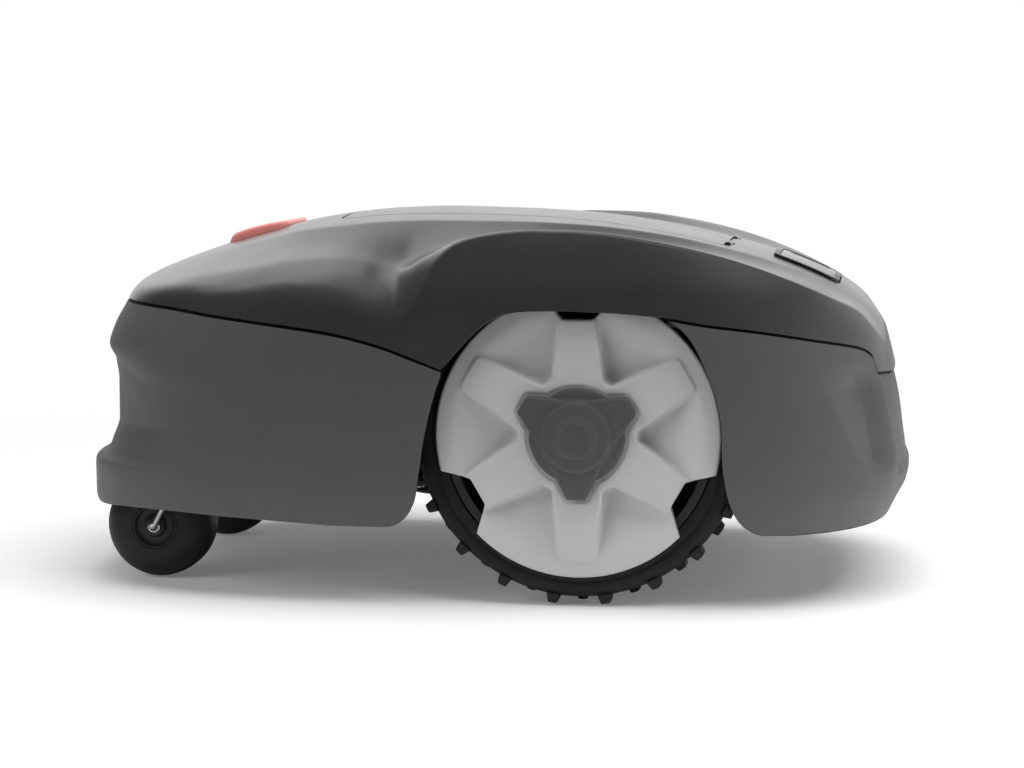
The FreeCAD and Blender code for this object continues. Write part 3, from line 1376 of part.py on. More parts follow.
# ---------------------------------------------------------------------- export
doc.recompute()
problems = ["%s %s" % (obj.Label, obj.State) for obj in doc.Objects
            if any(word in str(obj.State) for word in ("Invalid", "Error"))]
for label, obj in PARTS:
    if obj.Shape.isNull() or not obj.Shape.Solids:
        problems.append(label + " has no solid")
    elif not obj.Shape.isValid():
        problems.append(label + " is not valid")
if problems:
    raise SystemExit("\n".join(problems))

# clear out files of pieces that no longer exist
for old in os.listdir("parts"):
    os.remove(os.path.join("parts", old))
for label, obj in PARTS:
    obj.Shape.exportStep("parts/%s.step" % label)
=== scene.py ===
"""Low wheeled machine: a painted hood over front and rear skirts, with a hatch lid, a red stop
button and a badge on top, two large drive wheels and two front casters.

The nose points to -Y, the left flank to +X, and the floor is z = 0. Shapes are worked out in
millimetres and turned into metres when a mesh is made. Detailed pieces replace CAD nodes.
"""
import json
import math
import bpy
import bmesh
import numpy as np
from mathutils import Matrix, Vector
from mathutils.geometry import delaunay_2d_cdt


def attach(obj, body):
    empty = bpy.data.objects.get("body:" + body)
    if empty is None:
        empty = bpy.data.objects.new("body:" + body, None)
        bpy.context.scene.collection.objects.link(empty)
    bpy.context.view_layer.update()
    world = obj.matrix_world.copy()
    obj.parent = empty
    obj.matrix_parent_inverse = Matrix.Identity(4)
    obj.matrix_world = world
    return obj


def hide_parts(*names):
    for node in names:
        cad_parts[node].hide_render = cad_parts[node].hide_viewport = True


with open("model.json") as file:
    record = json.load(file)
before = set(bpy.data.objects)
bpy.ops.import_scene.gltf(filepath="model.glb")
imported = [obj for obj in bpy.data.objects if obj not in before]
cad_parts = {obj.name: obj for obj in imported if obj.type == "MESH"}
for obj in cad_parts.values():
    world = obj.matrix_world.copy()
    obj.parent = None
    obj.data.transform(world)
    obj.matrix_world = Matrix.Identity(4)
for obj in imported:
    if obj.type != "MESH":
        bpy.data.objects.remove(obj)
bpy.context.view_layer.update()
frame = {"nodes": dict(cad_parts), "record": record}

MM = 0.001

# ------------------------------------------------------------------ main sizes
HALF_WIDTH = 195.0
CENTRE_Y = 70.0           # the plan outline splits into nose and tail halves here
NOSE, TAIL = 333.5, 205.0     # reach of the outline ahead of and behind CENTRE_Y
NOSE_POWER, TAIL_POWER, SIDE_POWER = 4.3, 3.2, 3.0    # superellipse powers of the outline
INSIDE_Y = 20.0           # a point well inside the body, to tell inward from outward

AXLE_Y, AXLE_Z = CENTRE_Y, 108.5
CASTER_X, CASTER_Y, CASTER_RADIUS = 92.0, -220.0, 35.5
CASTER_STEM_Y = -200.0

# plan rectangles about x = 0: (half width, low y, high y)
STOP_BOX = (36.0, -188.0, -147.0)
BADGE_BOX = (42.0, 184.0, 228.0)

SHELL_THICKNESS = 3.0
DENT_DEPTH = 5.6          # how far the front face steps back under its brow


# ---------------------------------------------------------------- body surfaces
def curve(table):
    """Monotone cubic through (position, value) points, going on straight past both ends."""
    knots = [position for position, value in table]
    values = [value for position, value in table]
    count = len(knots)
    steps = [knots[i + 1] - knots[i] for i in range(count - 1)]
    rises = [(values[i + 1] - values[i]) / steps[i] for i in range(count - 1)]
    slopes = [rises[0]] + [0.0] * (count - 2) + [rises[-1]]
    for i in range(1, count - 1):
        if rises[i - 1] * rises[i] > 0:
            before, after = 2 * steps[i] + steps[i - 1], steps[i] + 2 * steps[i - 1]
            slopes[i] = (before + after) / (before / rises[i - 1] + after / rises[i])
    knots, values, steps, slopes = map(np.array, (knots, values, steps, slopes))

    def at(x):
        x = np.asarray(x, float)
        i = np.clip(np.searchsorted(knots, x, side="right") - 1, 0, count - 2)
        t = (x - knots[i]) / steps[i]
        middle = (values[i] * (1 + 2 * t) * (1 - t) ** 2 + steps[i] * slopes[i] * t * (1 - t) ** 2
                  + values[i + 1] * t * t * (3 - 2 * t)
                  + steps[i] * slopes[i + 1] * t * t * (t - 1))
        below = values[0] + slopes[0] * (x - knots[0])
        above = values[-1] + slopes[-1] * (x - knots[-1])
        return np.where(x <= knots[0], below, np.where(x >= knots[-1], above, middle))
    return at


def inset_curve(full, table):
    """Curve given as (position, amount short of the full size)."""
    return curve([(position, full - inset) for position, inset in table])


# wall outline against height: (z, inset)
half_width_at = inset_curve(HALF_WIDTH, [
    (40, 4.5), (60, 2.2), (80, 0.8), (110, 0), (140, 0), (162, 0.7), (175, 1.5), (186, 2.6),
    (197, 4.8), (216, 12.8), (228, 19.0), (237, 25.0), (252, 37.0)])
nose_at = inset_curve(NOSE, [
    (40, 2.5), (60, 0.5), (85, 0), (140, 0), (156, 0.8), (172, 6.0), (183, 12.0), (190, 15.5),
    (200, 22), (216, 34), (237, 54), (252, 72)])
tail_at = inset_curve(TAIL, [
    (40, 15.5), (47, 12), (58, 6.5), (68, 1.5), (77, 0), (96, 2.2), (118, 5.3), (139, 10.2),
    (161, 16), (172, 19.4), (183, 25.5), (197, 36), (216, 58), (237, 88), (252, 112)])

# hood top against length: (y, height or half width)
crown_z = curve([
    (-290, 120), (-268, 155), (-256, 178), (-248, 191), (-240, 199.5), (-220, 209),
    (-200, 216.3), (-175, 224.6), (-150, 231.5), (-125, 237.2), (-100, 241), (-75, 243.3),
    (-41, 244.5), (-2, 243.6), (27, 242.3), (63, 239.4), (91, 235.4), (118, 230.2),
    (145, 224.6), (173, 218.2), (189, 213.8), (208, 206.8), (227, 197.8), (237, 190.5),
    (247, 182), (256, 170), (268, 145), (290, 90)])
crease_x = curve([
    (-250, 72), (-200, 80), (-150, 86), (-126, 88), (-98, 92), (-72, 95), (28, 95), (73, 88),
    (99, 83), (138, 76), (176, 69), (202, 63), (228, 57), (260, 50)])
crease_z = curve([
    (-290, 110), (-268, 148), (-256, 172), (-248, 186), (-240, 195), (-220, 204),
    (-200, 210.5), (-175, 218), (-150, 224.8), (-126, 230.9), (-98, 234.6), (-72, 237),
    (-37, 238.2), (-4, 238.3), (28, 238.0), (54, 236.8), (73, 235.4), (99, 232.2),
    (125, 227.8), (150, 222), (176, 214.9), (202, 205.4), (228, 193.6), (240, 185.5),
    (250, 174), (262, 152), (290, 80)])
rim_x = curve([
    (-250, 120), (-211, 133), (-186, 145), (-164, 152), (-144, 156), (-117, 160), (-90, 163),
    (-60, 165), (-40, 168), (0, 171), (150, 169), (190, 162), (215, 150), (235, 133),
    (255, 110)])
rim_z = curve([
    (-290, 100), (-262, 150), (-250, 175), (-238, 187), (-225, 193), (-211, 197.5),
    (-186, 202.5), (-164, 205.5), (-144, 209), (-117, 213.5), (-90, 214.5), (-69, 212.5),
    (-57, 209.5), (-48, 208.5), (-40, 211.5), (-31, 217.3), (-24.7, 220.7), (-18.3, 224.3),
    (-12, 227.4), (-5.6, 230), (7, 233.1), (20, 235.1), (38.6, 236.6), (57.5, 236.4),
    (82, 235), (107, 231.4), (132, 226.6), (157, 220.6), (182, 212.7), (206, 203.1),
    (225, 193.6), (240, 184), (252, 168), (265, 142), (290, 80)])
# (y, sag of the surface between crease and rim)
valley_drop = curve([
    (-290, 0), (-200, 0), (-120, 1.0), (-90, 1.5), (-60, 3.5), (-35, 8.0), (0, 8.5),
    (60, 8.5), (110, 7.5), (160, 6.0), (200, 4.5), (228, 2.5), (250, 0), (290, 0)])
# (y, fall at the flank) and (y, width over which it falls)
edge_fall = curve([
    (-290, 40), (-240, 24), (-225, 14), (-200, 10.9), (-180, 11.5), (-150, 13.2),
    (-120, 16.5), (-100, 18.7), (-80, 19.5), (-60, 19.3), (-45, 21), (-30, 23), (-8, 10),
    (10, 7), (190, 7), (215, 14), (232, 30), (250, 50), (290, 60)])
edge_reach = curve([(-290, 42), (-60, 40), (-30, 36), (0, 30), (190, 30), (230, 36), (290, 40)])


def side_at(y):
    """Half width of the plan outline, taken slightly long at both ends."""
    ahead = y < CENTRE_Y
    share = (y - CENTRE_Y) / np.where(ahead, NOSE + 6, TAIL + 4)
    power = np.where(ahead, NOSE_POWER, TAIL_POWER)
    rest = np.maximum(0.0, 1 - np.minimum(1.0, np.abs(share)) ** power)
    return HALF_WIDTH * rest ** (1 / SIDE_POWER)


def crease_and_rim(y):
    """Half widths of the crease and the rim, held inside the flank."""
    rim = np.minimum(rim_x(y), np.maximum(side_at(y), 60.0) - 12)
    return np.minimum(crease_x(y), rim * 0.62), rim


def hood_raw_z(x, y):
    """Hood height with a sharp crease."""
    x, y = np.abs(np.asarray(x, float)), np.asarray(y, float)
    crown, fold, rim_height = crown_z(y), crease_z(y), rim_z(y)
    crease, rim = crease_and_rim(y)
    inner = crown - (crown - fold) * (x / crease) ** 2
    share = (x - crease) / (rim - crease)
    sag = np.sin(np.pi * np.clip(share, 0.0, 1.0) ** 0.85) ** 1.2
    outer = fold + (rim_height - fold) * share - valley_drop(y) * sag
    z = np.where(x <= crease, inner, outer)
    reach = edge_reach(y)
    over = np.clip((x - (np.maximum(side_at(y), 60.0) - reach)) / reach, 0, 1.6)
    return z - edge_fall(y) * over ** 2.4


def hood_z(x, y):
    """Hood height averaged across x, so that the crease has a small radius."""
    height = 0.0
    for shift, weight in ((-3.2, 0.1), (-1.8, 0.24), (0.0, 0.32), (1.8, 0.24), (3.2, 0.1)):
        height = height + weight * hood_raw_z(np.asarray(x) + shift, y)
    return height


# Plan outline from nose to tail along the left flank, as shares of the half width and of the
# nose or tail reach, with the arc length of the full-size outline.
QUARTER_STEPS = 4000
turn = np.linspace(0, np.pi / 2, QUARTER_STEPS + 1)
SHARE_X = np.concatenate([np.sin(turn) ** (2 / SIDE_POWER),
                          np.maximum(0, np.cos(turn[1:])) ** (2 / SIDE_POWER)])
SHARE_Y = np.concatenate([-np.cos(turn) ** (2 / NOSE_POWER),
                          np.sin(turn[1:]) ** (2 / TAIL_POWER)])
SHARE_X[0] = SHARE_X[-1] = 0.0
SHARE_Y[QUARTER_STEPS] = 0.0
full_outline = np.stack([SHARE_X * HALF_WIDTH,
                         CENTRE_Y + SHARE_Y * np.where(SHARE_Y < 0, NOSE, TAIL)], 1)
ARC = np.concatenate([[0], np.cumsum(np.hypot(*np.diff(full_outline, axis=0).T))])


def share_at(arc):
    return np.interp(arc, ARC, SHARE_X), np.interp(arc, ARC, SHARE_Y)


def arc_at(share_y):
    return np.interp(share_y, SHARE_Y, ARC)


def wall(share_x, share_y, z):
    """Point of the body wall at height z."""
    x = share_x * half_width_at(z)
    y = CENTRE_Y + share_y * np.where(share_y < 0, nose_at(z), tail_at(z))
    return x, y


def smooth(t):
    t = np.clip(t, 0, 1)
    return t * t * (3 - 2 * t)


# ------------------------------------------------------------------ plan helpers
def rounded(points, radii, step=2.0):
    """Closed polygon with filleted corners, resampled."""
    points = [np.array(point, float) for point in points]
    count = len(points)
    if not hasattr(radii, "__len__"):
        radii = [radii] * count
    path = []
    for i in range(count):
        corner, before, after, radius = points[i], points[i - 1], points[(i + 1) % count], radii[i]
        if radius <= 0:
            path.append(corner)
            continue
        back = (before - corner) / np.linalg.norm(before - corner)
        ahead = (after - corner) / np.linalg.norm(after - corner)
        angle = math.acos(max(-1, min(1, float(back @ ahead))))
        run = radius / math.tan(angle / 2)
        bisector = (back + ahead) / np.linalg.norm(back + ahead)
        centre = corner + bisector * (radius / math.sin(angle / 2))
        start, end = corner + back * run, corner + ahead * run
        first = math.atan2(*(start - centre)[::-1])
        last = math.atan2(*(end - centre)[::-1])
        sweep = (last - first + math.pi) % (2 * math.pi) - math.pi
        pieces = max(2, int(abs(sweep) * radius / min(step, radius * 0.5)) + 1)
        for j in range(pieces + 1):
            theta = first + sweep * j / pieces
            path.append(centre + radius * np.array([math.cos(theta), math.sin(theta)]))
    samples = []
    for start, end in zip(path, path[1:] + path[:1]):
        length = np.linalg.norm(end - start)
        if length < 1e-6:
            continue
        pieces = max(1, int(round(length / step)))
        for j in range(pieces):
            samples.append(start + (end - start) * j / pieces)
    return np.array(samples)


def rectangle(box, radius, step):
    """Rounded plan rectangle about x = 0."""
    half, low, high = box
    return rounded([(half, low), (half, high), (-half, high), (-half, low)], radius, step)


def grown(box, gap):
    half, low, high = box
    return half + gap, low - gap, high + gap


def polar(radius, degrees):
    return np.array([radius * math.cos(math.radians(degrees)),
                     radius * math.sin(math.radians(degrees))])


def turned(points, degrees):
    """Plane points turned about the origin."""
    cos, sin = math.cos(math.radians(degrees)), math.sin(math.radians(degrees))
    return np.asarray(points, float) @ np.array([[cos, sin], [-sin, cos]])


def inside(points, loop):
    points, starts = np.asarray(points), np.asarray(loop)
    ends = np.roll(starts, -1, 0)
    result = np.zeros(len(points), bool)
    for k in range(0, len(points), 4000):
        chunk = points[k:k + 4000]
        x, y = chunk[:, None, 0], chunk[:, None, 1]
        spans = (starts[None, :, 1] > y) != (ends[None, :, 1] > y)
        with np.errstate(divide="ignore", invalid="ignore"):
            crossing = (ends[None, :, 0] - starts[None, :, 0]) * (y - starts[None, :, 1]) / (
                ends[None, :, 1] - starts[None, :, 1]) + starts[None, :, 0]
        result[k:k + 4000] = (spans & (x < crossing)).sum(1) % 2 == 1
    return result


def distance(points, loop, closed=True):
    """Unsigned distance from points to a polyline."""
    points, loop = np.asarray(points, float), np.asarray(loop, float)
    starts = loop if closed else loop[:-1]
    ends = np.roll(loop, -1, 0) if closed else loop[1:]
    along = ends - starts
    squared = (along ** 2).sum(1) + 1e-12
    result = np.zeros(len(points))
    for k in range(0, len(points), 3000):
        chunk = points[k:k + 3000]
        t = np.clip(((chunk[:, None] - starts[None]) * along[None]).sum(2) / squared, 0, 1)
        nearest = starts[None] + t[..., None] * along[None]
        result[k:k + 3000] = np.sqrt(((chunk[:, None] - nearest) ** 2).sum(2).min(1))
    return result


def signed_distance(points, loop):
    """Distance to a loop, negative inside it."""
    return np.where(inside(points, loop), -1, 1) * distance(points, loop)


def area(loop):
    x, y = np.asarray(loop).T
    return 0.5 * float((x * np.roll(y, -1) - np.roll(x, -1) * y).sum())


def insets(loop, amounts):
    """Loops moved inward by each amount (outward if negative), thinned where they fold."""
    loop = np.asarray(loop, float)
    tangent = np.roll(loop, -1, 0) - np.roll(loop, 1, 0)
    tangent /= np.linalg.norm(tangent, axis=1)[:, None] + 1e-12
    normal = np.stack([-tangent[:, 1], tangent[:, 0]], 1)
    sign = 1 if area(loop) > 0 else -1
    moved = []
    for amount in amounts:
        shifted = loop + normal * (amount * sign)
        moved.append(shifted[distance(shifted, loop) > abs(amount) * 0.93])
    return moved


def grid_points(low, high, step):
    """Staggered rows of points."""
    columns = np.arange(low[0], high[0] + step, step)
    rows = []
    for j, y in enumerate(np.arange(low[1], high[1] + step, step * 0.87)):
        shift = step / 2 if j % 2 else 0
        rows.append(np.stack([columns + shift, np.full(len(columns), y)], 1))
    return np.concatenate(rows)


def clear_of(points, loops, gap, closed=True):
    """The points that keep a gap from every loop."""
    keep = np.ones(len(points), bool)
    for loop in loops:
        keep &= distance(points, loop, closed) > gap
    return points[keep]


def fill_points(outline, step, gap, loops):
    points = grid_points(outline.min(0), outline.max(0), step)
    return clear_of(points, [outline] + list(loops), gap)


def triangulate(outline, points, holes=(), loops=(), lines=()):
    """Constrained triangles of a plan region: points, faces, and the index of each outline point."""
    everything, edges = [], []

    def add(line, closed=True):
        start, count = len(everything), len(line)
        everything.extend([tuple(map(float, point)) for point in line])
        edges.extend((start + i, start + (i + 1) % count)
                     for i in range(count if closed else count - 1))

    for loop in [outline, *holes, *loops]:
        add(loop)
    for line in lines:
        add(line, False)
    keep = inside(points, outline)
    for hole in holes:
        keep &= ~inside(points, hole)
    everything.extend([tuple(map(float, point)) for point in points[keep]])
    flat, _, faces, sources, _, _ = delaunay_2d_cdt(
        [Vector(point) for point in everything], edges, [], 0, 1e-5)
    flat = np.array([tuple(point) for point in flat])
    index_of = {}
    for i, merged in enumerate(sources):
        for source in merged:
            index_of[source] = i
    triangles = np.array([face for face in faces if len(face) == 3])
    middles = flat[triangles].mean(1)
    keep = inside(middles, outline)
    for hole in holes:
        keep &= ~inside(middles, hole)
    return flat, triangles[keep], [index_of[i] for i in range(len(outline))]


def edge_drop(depth, radius):
    """Fall of a rounded edge at a distance in from the outline."""
    return radius - np.sqrt(np.maximum(0, radius * radius - np.maximum(0, radius - depth) ** 2))


def push_in(points, depth, blur=0):
    """Moves rows of wall points inward in plan, along normals averaged over blur columns."""
    tangent = np.gradient(points[:, :, :2], axis=1)
    if blur:
        padded = np.pad(tangent, ((0, 0), (blur, blur), (0, 0)), mode="edge")
        width = 2 * blur + 1
        tangent = sum(padded[:, k:k + points.shape[1]] for k in range(width)) / width
    tangent /= np.linalg.norm(tangent, axis=2)[..., None] + 1e-9
    normal_x, normal_y = -tangent[..., 1], tangent[..., 0]
    outward = normal_x * points[..., 0] + normal_y * (points[..., 1] - INSIDE_Y) > 0
    flip = np.where(outward, -1, 1)
    points[..., 0] += normal_x * flip * depth
    points[..., 1] += normal_y * flip * depth


# ------------------------------------------------------------------ mesh helpers
def shade_smooth(mesh):
    mesh.polygons.foreach_set("use_smooth", [True] * len(mesh.polygons))


def link(name, data):
    ob = bpy.data.objects.new(name, data)
    bpy.context.scene.collection.objects.link(ob)
    return ob


def make(name, vertices, faces):
    """Mesh object from millimetre vertices."""
    mesh = bpy.data.meshes.new(name)
    vertices = np.asarray(vertices, float) * MM
    mesh.from_pydata([tuple(v) for v in vertices], [], [tuple(map(int, face)) for face in faces])
    mesh.validate()
    mesh.update()
    ob = link(name, mesh)
    shade_smooth(mesh)
    return ob


def face_out(ob, centre=None):
    """Turns faces outward: away from a centre for a sheet, by volume for a closed piece."""
    bm = bmesh.new()
    bm.from_mesh(ob.data)
    bmesh.ops.remove_doubles(bm, verts=bm.verts, dist=1e-6)
    bmesh.ops.recalc_face_normals(bm, faces=bm.faces)
    bm.normal_update()
    if centre is None:
        outwardness = bm.calc_volume(signed=True)
    else:
        origin = Vector(centre) * MM
        outwardness = sum(face.normal.dot(face.calc_center_median() - origin) * face.calc_area()
                          for face in bm.faces)
    if outwardness < 0:
        bmesh.ops.reverse_faces(bm, faces=bm.faces)
    bm.to_mesh(ob.data)
    bm.free()
    shade_smooth(ob.data)
    return ob


def thicken(ob, thickness):
    """Adds thickness on the inner side of a sheet."""
    modifier = ob.modifiers.new("thickness", "SOLIDIFY")
    modifier.thickness = thickness * MM
    modifier.offset = -1.0
    modifier.use_even_offset = False
    modifier.use_quality_normals = True


def soften_edges(ob, width, segments, angle):
    modifier = ob.modifiers.new("edges", "BEVEL")
    modifier.width = width * MM
    modifier.segments = segments
    modifier.limit_method = "ANGLE"
    modifier.angle_limit = math.radians(angle)
    modifier.use_clamp_overlap = True


def bevel(ob, width, segments, angle):
    """Bevelled edges with weighted normals."""
    soften_edges(ob, width, segments, angle)
    modifier = ob.modifiers.new("shade", "WEIGHTED_NORMAL")
    modifier.keep_sharp = False
    modifier.weight = 60


def sheet(name, points, closed=False):
    """Quads from an array of rows of points, closed both ways on request."""
    rows, columns = points.shape[:2]
    index = np.arange(rows * columns).reshape(rows, columns)
    faces = []
    for i in range(rows if closed else rows - 1):
        for j in range(columns if closed else columns - 1):
            i2, j2 = (i + 1) % rows, (j + 1) % columns
            faces.append((index[i, j], index[i, j2], index[i2, j2], index[i2, j]))
    return make(name, points.reshape(-1, 3), faces)


def prism_faces(rings, size):
    """Quads between successive rings of points, with a cap at each end."""
    faces = []
    for i in range(rings - 1):
        for j in range(size):
            j2 = (j + 1) % size
            faces.append((i * size + j, i * size + j2, (i + 1) * size + j2, (i + 1) * size + j))
    faces.append(tuple(range(size - 1, -1, -1)))
    faces.append(tuple((rings - 1) * size + j for j in range(size)))
    return faces


def lathe(name, profile, centre, segments):
    """Solid turned about an axis along x, from a closed ring of (x, radius) pairs."""
    profile = np.asarray(profile, float)
    rings = []
    for k in range(segments):
        angle = 2 * math.pi * k / segments
        rings.append(np.stack([centre[0] + profile[:, 0],
                               centre[1] + profile[:, 1] * math.cos(angle),
                               centre[2] + profile[:, 1] * math.sin(angle)], 1))
    return face_out(sheet(name, np.array(rings), closed=True))


def relief(name, outline, height, base, loops, points, place=None):
    """Closed solid: a height field over an outline, with straight walls down to a flat base."""
    flat, triangles, _ = triangulate(outline, points, loops=loops)
    used = np.unique(triangles)
    renumber = -np.ones(len(flat), int)
    renumber[used] = np.arange(len(used))
    flat, triangles = flat[used], renumber[triangles]
    edges = dict.fromkeys((face[i], face[(i + 1) % 3]) for face in triangles for i in range(3))
    border = [edge for edge in edges if (edge[1], edge[0]) not in edges]
    foot, foot_points = {}, []
    for edge in border:
        for i in edge:
            if i not in foot:
                foot[i] = len(flat) + len(foot_points)
                foot_points.append((flat[i][0], flat[i][1], base))
    vertices = np.concatenate([np.column_stack([flat, height(flat)]), np.array(foot_points)])
    faces = list(triangles)
    for i, j in border:
        faces.append((j, i, foot[i], foot[j]))
    following = {foot[i]: foot[j] for i, j in border}
    while following:
        start = next(iter(following))
        cycle = [start]
        current = following.pop(start)
        while current != start:
            cycle.append(current)
            current = following.pop(current)
        faces.append(tuple(reversed(cycle)))
    if place is not None:
        vertices = place(vertices)
    return face_out(make(name, vertices, faces))


def dress(ob, slot, body, *nodes):
    """Gives a piece its finish and the body it moves with, in place of CAD nodes."""
    ob.data.materials.clear()
    ob.data.materials.append(MATERIALS[slot])
    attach(ob, body)
    if nodes:
        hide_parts(*nodes)


def mirrored(name, source):
    """The same mesh on the other flank."""
    mesh = source.data.copy()
    mesh.name = name
    flat = np.zeros(len(mesh.vertices) * 3)
    mesh.vertices.foreach_get("co", flat)
    flat[::3] *= -1
    mesh.vertices.foreach_set("co", flat)
    mesh.flip_normals()
    mesh.update()
    return link(name, mesh)


def dress_pair(left, name, slot, body, node, edges=None):
    """Finishes a left piece, then its mirror image; edges are bevel settings."""
    for side in ("left", "right"):
        piece = left if side == "left" else mirrored(name + "_right", left)
        if edges:
            bevel(piece, **edges)
        dress(piece, slot, f"{side}_{body}", f"{side}_{node}")


def panel(name, outline, height, thickness, slot, body, nodes=(), holes=(), loops=(), *,
          step, edge):
    """Thin plate lying on a height field."""
    points = fill_points(outline, step, step * 0.42, [*holes, *loops])
    flat, triangles, _ = triangulate(outline, points, holes, loops)
    ob = make(name, np.column_stack([flat, height(flat[:, 0], flat[:, 1])]), triangles)
    face_out(ob, (0, float(outline[:, 1].mean()), -2000))
    thicken(ob, thickness)
    bevel(ob, edge, segments=2, angle=50)
    dress(ob, slot, body, *nodes)


# --------------------------------------------------------------------- materials
class Graph:
    """Node tree emptied and filled by short calls; an input may be a value or a socket."""

    def __init__(self, owner):
        owner.use_nodes = True
        self.tree = owner.node_tree
        self.tree.nodes.clear()

    def add(self, kind, inputs=None, **settings):
        node = self.tree.nodes.new("ShaderNode" + kind)
        for key, value in settings.items():
            setattr(node, key, value)
        for key, value in (inputs or {}).items():
            if isinstance(value, bpy.types.NodeSocket):
                self.tree.links.new(value, node.inputs[key])
            else:
                node.inputs[key].default_value = value
        return node

    def math(self, operation, *values):
        return self.add("Math", dict(enumerate(values)), operation=operation).outputs[0]

    def remap(self, value, from_min, from_max, to_min=0.0, to_max=1.0, **settings):
        inputs = dict(enumerate((value, from_min, from_max, to_min, to_max)))
        return self.add("MapRange", inputs, **settings).outputs[0]

    def noise(self, vector, scale, detail):
        inputs = {"Vector": vector, "Scale": scale, "Detail": detail}
        return self.add("TexNoise", inputs).outputs[0]

    def mix(self, factor, first, second, data_type="RGBA"):
        inputs = {"Factor": factor, "A": first, "B": second}
        return self.add("Mix", inputs, data_type=data_type).outputs["Result"]

    def bump(self, height, strength, depth, **inputs):
        inputs.update(Height=height, Strength=strength, Distance=depth)
        return self.add("Bump", inputs).outputs[0]


def material(name, colour, rough, metallic=0.0, spec=0.5, coat=0.0, coat_rough=0.1,
             vary=0.06, rough_vary=0.06, grain=1500.0, grain_amount=0.12, orange=0.0,
             wear=0.12, dust=0.0, dust_z=None, streak=False, subsurface=0.0):
    """Mottled colour, uneven gloss, fine grain, worn edges and dust settled low down.

    vary and rough_vary are the spread of brightness and roughness, grain is a noise scale,
    orange the strength of a broader ripple, dust_z the heights in metres over which dust
    thins out, and streak draws the grain out along x.
    """
    mat = bpy.data.materials.new(name)
    graph = Graph(mat)
    vector = graph.add("TexCoord").outputs["Object"]

    broad = graph.noise(vector, scale=14, detail=4)
    fine = graph.noise(vector, scale=240, detail=3)
    mottle = graph.math("MULTIPLY_ADD", broad, 0.7, graph.math("MULTIPLY", fine, 0.3))
    brightness = graph.remap(mottle, 0.3, 0.7, 1 - vary, 1 + vary)
    base = graph.add("RGB")
    base.outputs[0].default_value = (*colour, 1)
    tint = graph.add("HueSaturation", {"Color": base.outputs[0], "Value": brightness}).outputs[0]

    if wear > 0:
        pointiness = graph.add("NewGeometry").outputs["Pointiness"]
        edge = graph.remap(pointiness, 0.52, 0.60, 0.0, wear)
        worn = tuple(min(1, channel * 1.8 + 0.06) for channel in colour)
        tint = graph.mix(graph.math("MULTIPLY", edge, fine), tint, (*worn, 1))
    if dust > 0:
        position = graph.add("NewGeometry").outputs["Position"]
        height = graph.add("SeparateXYZ", {0: position}).outputs["Z"]
        settled = graph.remap(height, *dust_z, dust, 0.0)
        patches = graph.noise(vector, scale=60, detail=5)
        amount = graph.math("MULTIPLY", settled, patches)
        tint = graph.mix(amount, tint, (0.22, 0.21, 0.19, 1))

    gloss = graph.noise(vector, scale=38, detail=5)
    roughness = graph.remap(gloss, 0.3, 0.7, max(0.02, rough - rough_vary),
                            min(1.0, rough + rough_vary))

    grain_vector = vector
    if streak:
        grain_vector = graph.add("Mapping", {0: vector, "Scale": (0.03, 1, 1)}).outputs[0]
    normal = graph.bump(graph.noise(grain_vector, grain, detail=2), grain_amount, depth=0.0004)
    if orange > 0:
        ripple = graph.noise(vector, scale=260, detail=1)
        normal = graph.bump(ripple, orange, depth=0.0006, Normal=normal)

    shader = graph.add("BsdfPrincipled", {
        "Base Color": tint, "Roughness": roughness, "Metallic": metallic,
        "Specular IOR Level": spec, "Coat Weight": coat, "Coat Roughness": coat_rough,
        "Subsurface Weight": subsurface, "Normal": normal})
    graph.add("OutputMaterial", {0: shader.outputs[0]})
    return mat


